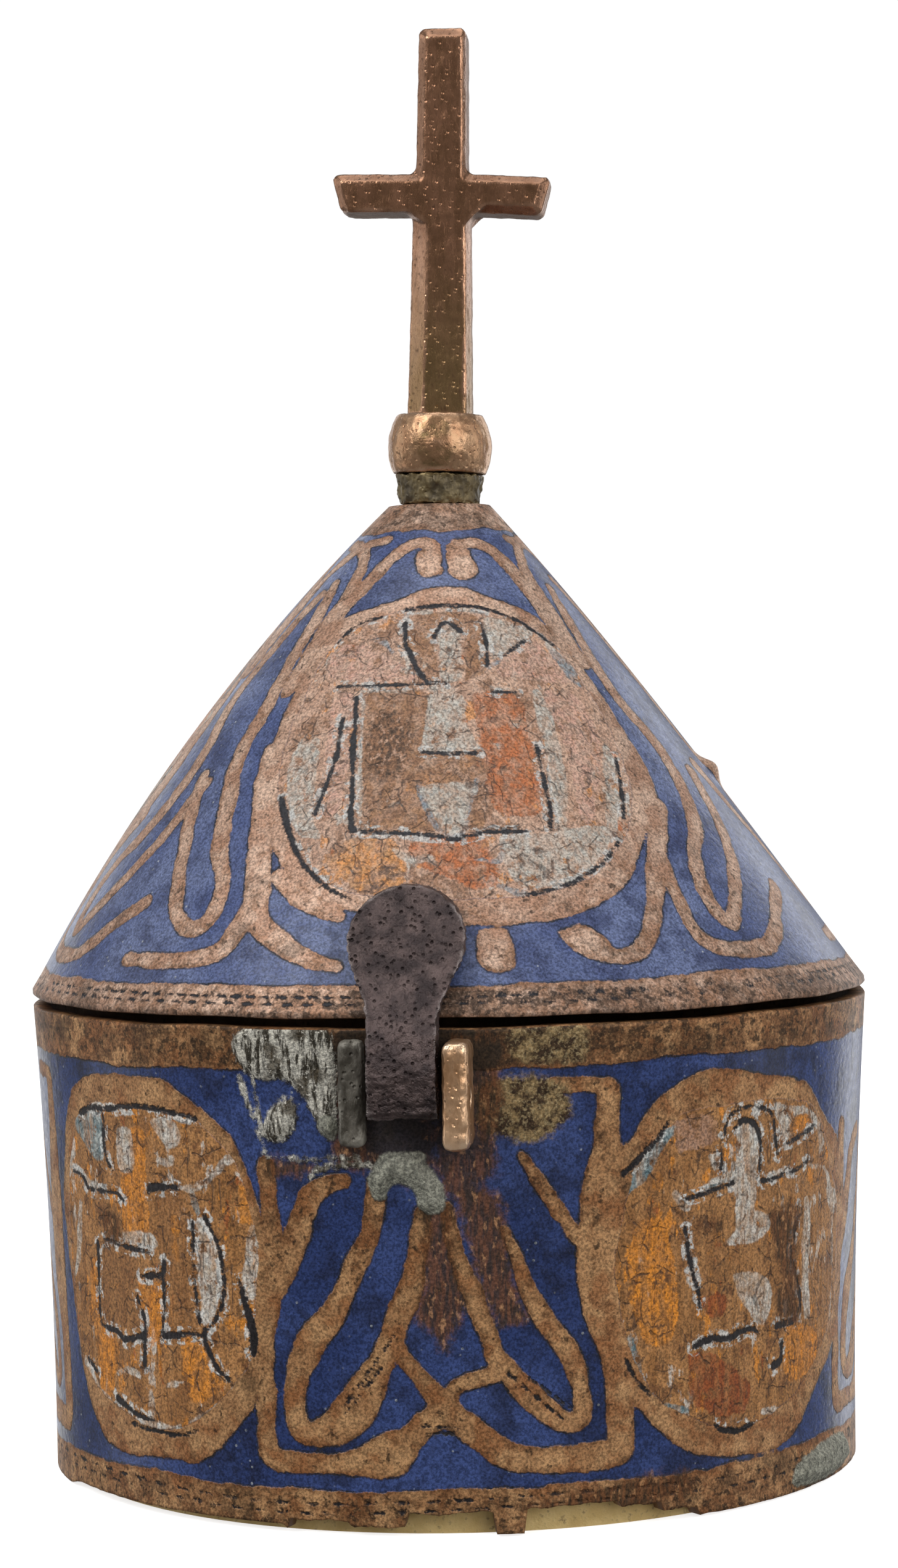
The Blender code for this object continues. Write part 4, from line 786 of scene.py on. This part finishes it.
class Graph:
    """A material's node tree with short calls for the nodes it needs. Sizes are millimetres."""

    def __init__(self, name):
        self.material = bpy.data.materials.new(name)
        self.material.use_nodes = True
        self.tree = self.material.node_tree
        self.shader = self.tree.nodes["Principled BSDF"]
        self.place = self.node("TexCoord").outputs["Object"]

    def put(self, socket, value):
        """Links or sets one input."""
        value = value.socket if isinstance(value, Number) else value
        if isinstance(value, bpy.types.NodeSocket):
            self.tree.links.new(value, socket)
        else:
            socket.default_value = (*value, 1) if socket.type == "RGBA" else value

    def node(self, kind, inputs=(), **settings):
        node = self.tree.nodes.new("ShaderNode" + kind)
        for key, value in settings.items():
            setattr(node, key, value)
        for key, value in dict(inputs).items():
            self.put(node.inputs[key], value)
        return node

    def math(self, operation, *values):
        return Number(self, self.node("Math", enumerate(values), operation=operation).outputs[0])

    def either(self, first, *others):
        """The largest of several numbers."""
        for other in others:
            first = self.math("MAXIMUM", first, other)
        return first

    def mix(self, factor, first, second, blend_type="MIX"):
        """Between two colours."""
        inputs = {0: factor, 6: first, 7: second}
        return self.node("Mix", inputs, data_type="RGBA", blend_type=blend_type).outputs[2]

    def blend(self, factor, first, second):
        """Between two numbers."""
        return Number(self, self.node("Mix", {0: factor, 2: first, 3: second}).outputs[0])

    def attribute(self, name):
        return Number(self, self.node("Attribute", attribute_name=name).outputs["Fac"])

    def stretched(self, x, y, z):
        return self.node("Mapping", {"Vector": self.place, "Scale": (x, y, z)}).outputs[0]

    def noise(self, size, detail=3.0, rough=0.55, place=None):
        """Noise whose features are about this wide."""
        inputs = {"Vector": place or self.place, "Scale": 1 / (size * MM), "Detail": detail}
        return Number(self, self.node("TexNoise", {**inputs, "Roughness": rough}).outputs["Fac"])

    def warped(self, amount):
        """The place, pushed about this far by broad noise."""
        shift = self.node("TexNoise", {"Vector": self.place, "Scale": 1 / (1.6 * MM)}).outputs["Color"]
        inputs = {0: shift, 1: (amount * MM,) * 3, 2: self.place}
        return self.node("VectorMath", inputs, operation="MULTIPLY_ADD").outputs[0]

    def cells(self, size, feature="F1", place=None):
        inputs = {"Vector": place or self.place, "Scale": 1 / (size * MM)}
        return Number(self, self.node("TexVoronoi", inputs, feature=feature).outputs["Distance"])

    def inside(self, layer, wobble, edge=0.06, grow=0.0):
        """1 inside a layer of the pattern and 0 outside, its edge made uneven by the wobble."""
        return (self.attribute(layer) + wobble).step(grow + edge, grow - edge)

    def finish(self, colour, metallic, rough, height, depth):
        """Puts the surface on the shader, with the height as fine relief, and hands over the material."""
        relief = self.node("Bump", {"Strength": 1.0, "Distance": depth * MM, "Height": height}).outputs[0]
        surface = {"Base Color": colour, "Metallic": metallic, "Roughness": rough, "Normal": relief}
        for key, value in surface.items():
            self.put(self.shader.inputs[key], value)
        return self.material


# pale colour of the painted glints on the glass's pits
SPECK_GLINT = (0.42, 0.45, 0.46)
# near-black of the painted shadow beside the hasp
HASP_SHADOW_TINT = (0.030, 0.021, 0.014)
GILT_DULL, GILT_BRIGHT = (0.26, 0.18, 0.085), (0.42, 0.33, 0.18)
CRUST_DARK, CRUST_BROWN = (0.040, 0.034, 0.024), (0.06, 0.046, 0.028)
# the first pale colour is the painted sheen on the crust's scratches
CRUST_SHEEN_PALE, CRUST_FLAKE = (0.50, 0.48, 0.42), (0.62, 0.60, 0.54)
LEAD_DARK, LEAD_PALE = (0.17, 0.17, 0.14), (0.34, 0.34, 0.28)


def enamel(name, tints):
    """Worn champleve enamel: copper cells, painted roundels, cracks, stains and pits."""
    g = Graph(name)
    grime_and_shade = g.attribute("grime_and_shade").signed(1.0)
    broad, mid, fine, grain = g.noise(9, 4), g.noise(2.2, 4), g.noise(0.6, 3), g.noise(0.22, 2)
    blotch = g.noise(1.5, 5, 0.75)
    upright = g.stretched(1, 1, 0.2)
    streak, thread = g.noise(0.9, 4, 0.6, upright), g.noise(0.35, 3, 0.6, upright)
    wobble = g.noise(1.1, 3).signed(0.5) + grain.signed(0.2) + g.noise(2.8, 2).signed(0.5)
    ragged = g.noise(1.3, 4, 0.7).signed(1.3) + g.noise(0.35, 3, 0.7).signed(0.5)
    soft = g.noise(2.5, 5, 0.7).signed(3.0) + g.noise(0.5, 3, 0.7).signed(1.0)

    # the glass, dark in patches and with pale specks: small pits painted as pale glints
    glass = g.mix(broad.step(0.38, 0.62), tints["glass"], tints["glass_light"])
    for share in (mid.step(0.5, 0.72) * 0.7, fine.step(0.5, 0.7) * 0.35,
                  g.noise(4, 4, 0.6).step(0.5, 0.64) * 0.6):
        glass = g.mix(share, glass, tints["glass_dark"])
    specks_glint = g.cells(0.8).step(0.16, 0.10) * mid.step(0.52, 0.60)
    glass = g.mix(specks_glint * 0.5, glass, SPECK_GLINT)
    glass = g.mix(grain.step(0.58, 0.75) * 0.4, glass, tints["glass_light"])

    # the ground of the roundels, and what is painted on it
    ground = g.mix(streak.step(0.3, 0.7), tints["field"], tints["field_light"])
    ground = g.mix(blotch.step(0.5, 0.66) * 0.8, ground, tints["stain"])
    ground = g.mix(thread.step(0.55, 0.7) * 0.5, ground, tints["pit"])
    for layer, size, low in (
        ("orange", 1.5, 0.58), ("pale", 1.9, 0.60), ("robe", 2.4, 0.56), ("red", 1.2, 0.63),
    ):
        patch = g.noise(size, 5, 0.65, g.stretched(1, 1, 0.45)).step(low, low + 0.05)
        ground = g.mix(patch * 0.7, ground, tints[layer])
    field = g.inside("field", wobble)
    surface = g.mix(field, glass, ground)
    for layer in ("robe", "red", "orange", "pink", "teal", "pale"):
        edge = ragged if layer in ("orange", "red", "pink") else wobble
        tint = g.mix(fine.step(0.35, 0.7), tints[layer], tints[layer + "_worn"])
        tint = g.mix(thread.step(0.5, 0.66) * 0.55, tint, tints["stain"])
        kept = blotch.step(0.64, 0.52) * g.blend(streak.step(0.42, 0.6), 1.0, 0.55)
        surface = g.mix(g.inside(layer, edge, 0.09) * kept, surface, tint)

    # the bare copper, mottled, pitted and dark along its sides
    metal = g.mix(mid.step(0.35, 0.65), tints["copper"], tints["copper_light"])
    metal = g.mix(g.noise(2.6, 3).step(0.48, 0.62) * 0.65, metal, tints["rust"])
    # stains and pits grow where grime_and_shade is high, and that includes the painted shadow behind the hasp
    metal = g.mix((blotch + grime_and_shade * 0.35).step(0.45, 0.62) * 0.75, metal, tints["stain"])
    metal = g.mix((g.noise(3.5, 5, 0.65) + grime_and_shade * 0.3).step(0.52, 0.66) * 0.6, metal, tints["pit"])
    metal = g.mix((fine + grime_and_shade * 0.22).step(0.56, 0.66) * 0.85, metal, tints["pit"])
    metal = g.mix(grain.step(0.52, 0.7) * 0.3, metal, tints["copper_light"])
    copper = g.inside("copper", wobble)
    sides = 1.0 - g.inside("copper", wobble, 0.15, -0.25)
    metal = g.mix(sides * g.blend(fine.step(0.4, 0.6), 0.2, 0.7), metal, tints["stain"])
    bare = copper * (1.0 - field)
    surface = g.mix(bare, surface, metal)

    # cracks, drawn outlines and the pale flecks beside them
    split = g.math("ABSOLUTE", g.noise(2.6, 2, 0.5, g.stretched(1, 1, 0.3)) - 0.5)
    cracks = split.step(0.010, 0.002) * field * mid.step(0.5, 0.56)
    uneven = g.noise(0.8, 3).signed(0.5) + grain.signed(0.25)
    drawn = g.inside("dark", uneven, 0.08, 0.06) * g.noise(1.4, 3).step(0.20, 0.30)
    crazed = g.cells(2.3, "DISTANCE_TO_EDGE", g.warped(0.9)).step(0.035, 0.012)
    crazed = crazed * field * blotch.step(0.47, 0.56)
    beside = g.inside("dark", uneven, 0.08, 0.48) * g.noise(0.9, 4, 0.7).step(0.50, 0.56)
    surface = g.mix(beside * (field * 0.85), surface, tints["fleck"])
    dark = g.either(drawn, g.either(cracks * 0.6, crazed * 0.6))
    surface = g.mix(dark, surface, tints["dark"])
    rim = g.inside("copper", wobble, 0.05, 0.12) - g.inside("copper", wobble, 0.05)
    surface = g.mix(rim * mid.step(0.3, 0.6), surface, tints["dark"])

    # what is left of the gilding, the worn places, the flaky crust and the solder
    gilt = g.mix(g.noise(1.3, 5, 0.7).step(0.42, 0.58), tints["pit"], GILT_DULL)
    gilt = g.mix(grain.step(0.5, 0.66) * 0.5, gilt, GILT_BRIGHT)
    surface = g.mix(g.inside("gilt", soft, 0.4, -0.1), surface, gilt)
    worn = g.inside("worn", soft, 0.5, -0.1)
    worn_tint = g.mix(thread.step(0.4, 0.6), tints["pit"], tints["stain"])
    copper_left = g.noise(0.5, 3, 0.6, g.stretched(1, 1, 0.5)).step(0.56, 0.66)
    worn_tint = g.mix(copper_left, worn_tint, tints["copper"])
    # painted shadow beside the hasp: near-black over the worn places where grime_and_shade is highest
    hasp_shadow_mask = g.attribute("grime_and_shade").step(0.66, 0.86) * mid.step(0.3, 0.5)
    worn_tint = g.mix(hasp_shadow_mask, worn_tint, HASP_SHADOW_TINT)
    surface = g.mix(worn * 0.9, surface, worn_tint)
    crust = g.inside("crust", ragged, 0.15)
    flaky = g.noise(0.4, 3, 0.7)
    # pale upright streaks on the crust: scratches painted with a pale metallic sheen
    scratch_sheen = g.noise(0.7, 4, 0.7, g.stretched(1.4, 1.4, 0.3))
    crust_tint = g.mix(scratch_sheen.step(0.42, 0.55), CRUST_DARK, CRUST_SHEEN_PALE)
    crust_tint = g.mix(mid.step(0.50, 0.62) * 0.8, crust_tint, CRUST_BROWN)
    crust_tint = g.mix(flaky.step(0.6, 0.68) * 0.7, crust_tint, CRUST_FLAKE)
    surface = g.mix(crust, surface, crust_tint)
    lead = g.inside("lead", wobble, 0.12)
    lead_tint = g.mix(g.noise(0.5, 4, 0.7).step(0.35, 0.65), LEAD_DARK, LEAD_PALE)
    surface = g.mix(lead, surface, lead_tint)

    speckle = g.mix(g.noise(0.2, 2, 0.7).step(0.34, 0.66), (0.56, 0.56, 0.56), (1.38, 1.36, 1.33))
    surface = g.mix(1.0, surface, speckle, "MULTIPLY")
    g.shader.inputs["Specular IOR Level"].default_value = 0.22
    dull = g.blend(bare, g.blend(field, 0.3, 0.5), 0.5) + fine.signed(0.25)
    dull = g.blend(g.either(worn, crust, lead), dull, 0.62)
    height = copper * 0.5 + fine * 0.5 + mid * 0.3 + field * thread * 0.8 - dark * 0.9
    height = height + g.either(crust, lead) * (flaky * 2.5)
    return g.finish(surface, bare * 0.35, dull, height, 0.09)


BOX_TINTS = {
    "fleck": (0.60, 0.60, 0.58),
    "glass": (0.022, 0.038, 0.122), "glass_light": (0.042, 0.068, 0.195), "glass_dark": (0.011, 0.013, 0.030),
    "field": (0.28, 0.128, 0.042), "field_light": (0.43, 0.215, 0.082),
    "robe": (0.24, 0.110, 0.040), "robe_worn": (0.32, 0.155, 0.06),
    "red": (0.30, 0.080, 0.022), "red_worn": (0.20, 0.055, 0.02),
    "orange": (0.70, 0.255, 0.028), "orange_worn": (0.45, 0.18, 0.040),
    "pink": (0.42, 0.25, 0.17), "pink_worn": (0.34, 0.18, 0.10),
    "teal": (0.10, 0.16, 0.18), "teal_worn": (0.38, 0.42, 0.41),
    "pale": (0.60, 0.57, 0.52), "pale_worn": (0.40, 0.31, 0.23),
    "copper": (0.33, 0.170, 0.076), "copper_light": (0.48, 0.275, 0.130), "rust": (0.24, 0.085, 0.028),
    "stain": (0.135, 0.055, 0.022), "pit": (0.045, 0.026, 0.014), "dark": (0.022, 0.019, 0.020),
}
# The lid's glass and copper are lighter than the box's, partly as painted sheen of the light from above on
# its slopes.
LID_TINTS_WITH_SHEEN = {
    "fleck": (0.44, 0.44, 0.43),
    "glass": (0.062, 0.084, 0.190), "glass_light": (0.120, 0.150, 0.27), "glass_dark": (0.030, 0.038, 0.09),
    "field": (0.36, 0.22, 0.155), "field_light": (0.47, 0.32, 0.24),
    "robe": (0.20, 0.105, 0.060), "robe_worn": (0.30, 0.165, 0.09),
    "red": (0.40, 0.130, 0.050), "red_worn": (0.27, 0.12, 0.065),
    "orange": (0.52, 0.22, 0.065), "orange_worn": (0.42, 0.23, 0.11),
    "pink": (0.46, 0.275, 0.215), "pink_worn": (0.40, 0.28, 0.22),
    "teal": (0.15, 0.18, 0.21), "teal_worn": (0.28, 0.30, 0.31),
    "pale": (0.40, 0.385, 0.35), "pale_worn": (0.36, 0.30, 0.25),
    "copper": (0.39, 0.25, 0.18), "copper_light": (0.54, 0.38, 0.29), "rust": (0.30, 0.155, 0.095),
    "stain": (0.22, 0.115, 0.065), "pit": (0.065, 0.042, 0.03), "dark": (0.022, 0.022, 0.026),
}


def aged_metal(name, base, light, dark, edge, metallic, rough, pits, face_shade=None, foot=None, upright=1.0,
               depth=0.06):
    """Old metal: mottled, darker in its pits, bright along its edges as rubbed wear and painted highlight.

    The face colour tints the flat faces that look forward or back darker: painted shade for the dark surround
    they reflect. foot tints the lowest part of the cross, and with it the upper part is painted darker with
    duller edges: painted shade beside the lower shaft that a reflection lights.
    """
    g = Graph(name)
    place = g.stretched(1, 1, upright)
    mottle, fine = g.noise(1.8, 5, 0.65, place), g.noise(0.45, 4, 0.65, place)
    tint = g.mix(mottle.step(0.35, 0.68), base, light)
    # upper part painted darker, with duller edges: painted shade
    if foot:
        level = Number(g, g.node("SeparateXYZ", {0: g.place}).outputs["Z"])
        high = level.step(0.098, 0.104) * 0.5
        tint = g.mix(high, tint, dark)
        edge = g.mix(high, edge, base)
    # faces looking forward or back painted darker: painted shade for the dark surround they reflect
    if face_shade:
        tint = g.mix(g.attribute("flat").step(0.9, 0.945), tint, g.mix(mottle.step(0.35, 0.7), face_shade, base))
    if foot:
        tint = g.mix(level.step(0.100, 0.086) * 0.6, tint, foot)
    tint = g.mix(fine.step(0.55, 0.75) * 0.8, tint, dark)
    # edges made bright: partly rubbed wear, partly painted highlight
    rubbed_and_highlit = (g.attribute("edge") + fine.signed(0.10)).step(0.03, 0.10) * g.noise(2.4, 3).step(0.32, 0.62)
    tint = g.mix(rubbed_and_highlit, tint, edge)
    dull = g.blend(rubbed_and_highlit, fine.signed(0.25) + rough, rough - 0.12)
    return g.finish(tint, metallic, dull, fine + g.cells(0.55).step(0.3, 0.0) * -pits, depth)


def neighbour_mean(points, ends, count):
    total = np.zeros_like(points)
    np.add.at(total, ends[:, 0], points[ends[:, 1]])
    np.add.at(total, ends[:, 1], points[ends[:, 0]])
    return total / count[:, None]


def worn_copy(node, voxel, rounding, unevenness, size, reach, spread=24):
    """A finer copy of a solid, with its edges rounded and its faces uneven; it stands for the solid.

    reach says how far its lower and upper end go into its neighbours.
    """
    work = bmesh.new()
    work.from_mesh(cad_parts[node].data)
    bmesh.ops.remove_doubles(work, verts=work.verts, dist=0.002 * MM)
    mesh = bpy.data.meshes.new(f"worn_{node}")
    work.to_mesh(mesh)
    work.free()
    piece = link(f"worn_{node}", mesh)
    remesh = piece.modifiers.new("remesh", "REMESH")
    remesh.mode = "VOXEL"
    remesh.voxel_size = voxel * MM
    bpy.context.view_layer.update()
    fine = bpy.data.meshes.new_from_object(piece.evaluated_get(bpy.context.evaluated_depsgraph_get()))
    piece.modifiers.clear()
    piece.data = fine
    points = np.zeros(len(fine.vertices) * 3)
    fine.vertices.foreach_get("co", points)
    points = points.reshape(-1, 3) / MM
    ends = np.zeros(len(fine.edges) * 2, np.int32)
    fine.edges.foreach_get("vertices", ends)
    ends = ends.reshape(-1, 2)
    count = np.bincount(ends.ravel(), minlength=len(points))
    for _ in range(rounding):
        points = points + 0.6 * (neighbour_mean(points, ends, count) - points)
    flat = points
    for _ in range(spread):
        flat = flat + 0.7 * (neighbour_mean(flat, ends, count) - flat)
    fine.vertices.foreach_set("co", (points * MM).ravel())
    fine.update()
    normals = np.zeros(len(points) * 3)
    fine.vertices.foreach_get("normal", normals)
    normals = normals.reshape(-1, 3)
    edge = np.einsum("ij,ij->i", points - flat, normals)
    lumps = np.array([noise.fractal(Vector(p) / size, 0.8, 2.0, 3) for p in points])
    points = points - normals * (unevenness * (0.5 + 0.5 * np.clip(lumps, -1, 1)))[:, None]
    low, high = (np.array(corner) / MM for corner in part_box(node))
    low[2] -= reach[0]
    high[2] += reach[1]
    points = low + (high - low) * (points - points.min(0)) / np.ptp(points, axis=0)
    fine.vertices.foreach_set("co", (points * MM).ravel())
    for key, values in (("edge", edge), ("flat", np.abs(normals[:, 1]))):
        layer = fine.attributes.new(key, "FLOAT", "POINT")
        layer.data.foreach_set("value", values.astype(np.float32))
    fine.update()
    fine.shade_smooth()
    return piece


def set_material(data, material):
    data.materials.clear()
    data.materials.append(material)


def plain_material(name, colour, rough):
    g = Graph(name)
    tint = g.mix(g.noise(40, 3).step(0.3, 0.7), colour, tuple(c * 0.985 for c in colour))
    g.put(g.shader.inputs["Base Color"], tint)
    g.shader.inputs["Roughness"].default_value = rough
    return g.material


def bowl():
    """A pale bowl to stand on, closed overhead and seen by the camera alone."""
    profile = [(0.0, 0.0), (0.3, 0.0), (FLAT_FLOOR, 0.0)]
    profile += [(FLAT_FLOOR + BEND * math.sin(a), BEND - BEND * math.cos(a))
                for a in np.linspace(0.15, math.pi / 2, 14)]
    profile += [(2.0, 3.2), (1.2, 3.9), (0.0, 4.2)]
    turns = [2 * math.pi * i / BOWL_SIDES for i in range(BOWL_SIDES)]
    verts = [(r * math.cos(turn), r * math.sin(turn), z) for r, z in profile for turn in turns]
    faces = []
    for low in range(0, (len(profile) - 1) * BOWL_SIDES, BOWL_SIDES):
        high = low + BOWL_SIDES
        for here, beside in zip(range(BOWL_SIDES), (*range(1, BOWL_SIDES), 0)):
            faces.append((low + here, low + beside, high + beside, high + here))
    mesh = bpy.data.meshes.new("floor")
    mesh.from_pydata(verts, [], faces)
    mesh.shade_smooth()
    floor = link("floor", mesh)
    pale = plain_material("pale_floor", (0.9, 0.9, 0.9), 0.7)
    glow = pale.node_tree.nodes["Principled BSDF"].inputs
    glow["Emission Color"].default_value = (1, 1, 1, 1)
    glow["Emission Strength"].default_value = 0.75
    mesh.materials.append(pale)
    floor.visible_diffuse = floor.visible_glossy = floor.visible_shadow = False


def lights():
    """Softboxes turned to the box, and a dim surround."""
    for name, place, width, height, power in (
        ("key_light", (-0.45, -0.50, 0.60), 0.5, 0.5, 4.5),
        ("fill_light", (0.55, -0.60, 0.35), 0.6, 0.6, 3.0),
        ("top_light", (0.05, -0.05, 0.85), 0.6, 0.6, 2.2),
        ("left_strip", (-0.60, 0.06, 0.14), 0.25, 0.6, 0.6),
        ("right_strip", (0.60, 0.06, 0.14), 0.25, 0.6, 0.7),
        ("left_back_strip", (-0.42, 0.72, 0.15), 0.3, 0.8, 0.8),
        ("right_back_strip", (0.42, 0.72, 0.15), 0.3, 0.8, 1.4),
    ):
        data = bpy.data.lights.new(name, "AREA")
        data.shape = "RECTANGLE"
        data.size, data.size_y = width, height
        data.energy = power
        lamp = link(name, data)
        lamp.location = place
        lamp.rotation_euler = (Vector(AIM) - Vector(place)).to_track_quat("-Z", "Y").to_euler()
    world = bpy.data.worlds.new("surround")
    world.use_nodes = True
    surround = world.node_tree.nodes["Background"].inputs
    surround["Color"].default_value = (1, 1, 1, 1)
    surround["Strength"].default_value = 0.25
    bpy.context.scene.world = world


def camera():
    """The photo's camera, found from the outline and the ellipses of rim and foot."""
    distance, height, turn = 0.28958, 0.05912, math.radians(5.5)
    pitch, roll, yaw = -0.01525, -0.01642, 0.00092
    ahead = Vector((math.sin(yaw) * math.cos(pitch), math.cos(yaw) * math.cos(pitch), math.sin(pitch)))
    right = Vector((math.cos(yaw), -math.sin(yaw), 0))
    up = right.cross(ahead)
    right, up = math.cos(roll) * right + math.sin(roll) * up, math.cos(roll) * up - math.sin(roll) * right
    basis = Matrix((right, up, -ahead)).transposed().to_4x4()
    data = bpy.data.cameras.new("camera")
    data.sensor_fit = "VERTICAL"
    data.sensor_height = SENSOR
    data.lens = FOCAL_PIXELS * SENSOR / PHOTO_PIXELS
    data.clip_start = 0.01
    viewer = link("camera", data)
    viewer.matrix_world = Matrix.Rotation(turn, 4, "Z") @ Matrix.Translation((0, -distance, height)) @ basis
    bpy.context.scene.camera = viewer


# Each metal: base, light, dark and edge colours, metallic, rough and pits; the edge colour stands for rubbed
# wear and painted highlight together
METALS = {
    "bare_copper": ((0.20, 0.105, 0.055), (0.27, 0.15, 0.085), (0.07, 0.04, 0.025), (0.30, 0.18, 0.11),
                    0.5, 0.55, 0.4),
    "rubbed_copper": ((0.28, 0.140, 0.080), (0.42, 0.24, 0.155), (0.09, 0.045, 0.025), (0.52, 0.29, 0.18),
                      0.85, 0.28, 0.6),
    "knop_copper": ((0.36, 0.195, 0.105), (0.50, 0.31, 0.18), (0.12, 0.06, 0.028), (0.62, 0.40, 0.26),
                    0.85, 0.30, 0.8),
    "bright_copper": ((0.44, 0.24, 0.12), (0.78, 0.50, 0.30), (0.12, 0.055, 0.025), (0.85, 0.60, 0.40),
                      0.8, 0.32, 1.0),
    "pitted_iron": ((0.034, 0.023, 0.023), (0.125, 0.088, 0.082), (0.012, 0.009, 0.009), (0.24, 0.20, 0.19),
                    0.6, 0.36, 1.4),
    "crusted_collar": ((0.060, 0.046, 0.028), (0.20, 0.15, 0.07), (0.02, 0.016, 0.012), (0.30, 0.22, 0.10),
                       0.5, 0.45, 1.2),
    "dark_stub": ((0.050, 0.042, 0.030), (0.22, 0.20, 0.165), (0.015, 0.012, 0.010), (0.34, 0.32, 0.27),
                  0.4, 0.5, 1.2),
    "dull_brass": ((0.60, 0.41, 0.15), (0.74, 0.54, 0.23), (0.20, 0.12, 0.05), (0.5, 0.4, 0.18),
                   0.2, 0.5, 0.3),
}
# the face colour is a darker tint of the faces looking forward or back, as painted shade
METAL_EXTRAS = {
    "rubbed_copper": {"face_shade": (0.185, 0.092, 0.048), "foot": (0.22, 0.15, 0.06), "upright": 0.3},
    "knop_copper": {"face_shade": (0.15, 0.105, 0.045)},
    "bright_copper": {"upright": 0.4},
    "pitted_iron": {"depth": 0.28},
    "dark_stub": {"upright": 0.5, "depth": 0.14},
}
# Each worn copy: node, body, slot, metal, voxel, rounding, unevenness, size of its lumps and reach
WORN_COPIES = (
    ("cross", "lid", "worn_copper", "rubbed_copper", 0.16, 2, 0.08, 1.2, (0.4, 0)),
    ("knop", "lid", "worn_copper", "knop_copper", 0.14, 3, 0.10, 1.0, (0.2, 0.2)),
    ("collar", "lid", "dark_collar", "crusted_collar", 0.11, 9, 0.35, 0.7, (0.3, 0.2)),
    ("hasp", "lid", "dark_iron", "pitted_iron", 0.13, 4, 0.3, 0.8, (0, 0)),
    ("hinge_strap", "lid", "dark_iron", "pitted_iron", 0.15, 3, 0.12, 0.6, (0, 0)),
    ("clasp_lug_right", "box", "worn_copper", "bright_copper", 0.12, 4, 0.14, 0.9, (0, 0)),
    ("clasp_lug_left", "box", "worn_copper", "dark_stub", 0.12, 3, 0.14, 0.9, (0, 0)),
    ("hinge_lug_left", "box", "worn_copper", "knop_copper", 0.14, 3, 0.10, 0.9, (0, 0)),
    ("hinge_lug_right", "box", "worn_copper", "knop_copper", 0.14, 3, 0.10, 0.9, (0, 0)),
)


def main():
    bpy.context.scene.view_settings.view_transform = "Standard"
    metals = {name: aged_metal(name, *values, **METAL_EXTRAS.get(name, {}))
              for name, values in METALS.items()}
    bare = metals["bare_copper"]
    for node, body, piece in (
        ("body_wall", "box", box_skin((enamel("box_enamel", BOX_TINTS), bare))),
        ("lid_cone", "lid", lid_skin((enamel("lid_enamel", LID_TINTS_WITH_SHEEN), bare))),
    ):
        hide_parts(node)
        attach(piece, body)
    for node, body, slot, metal, *wear in WORN_COPIES:
        piece = worn_copy(node, *wear)
        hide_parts(node)
        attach(piece, body)
        set_material(piece.data, metals[metal])
    for node, metal in (("hinge_pin", "pitted_iron"), ("base_plate", "dull_brass")):
        set_material(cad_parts[node].data, metals[metal])
    bowl()
    lights()
    camera()


main()
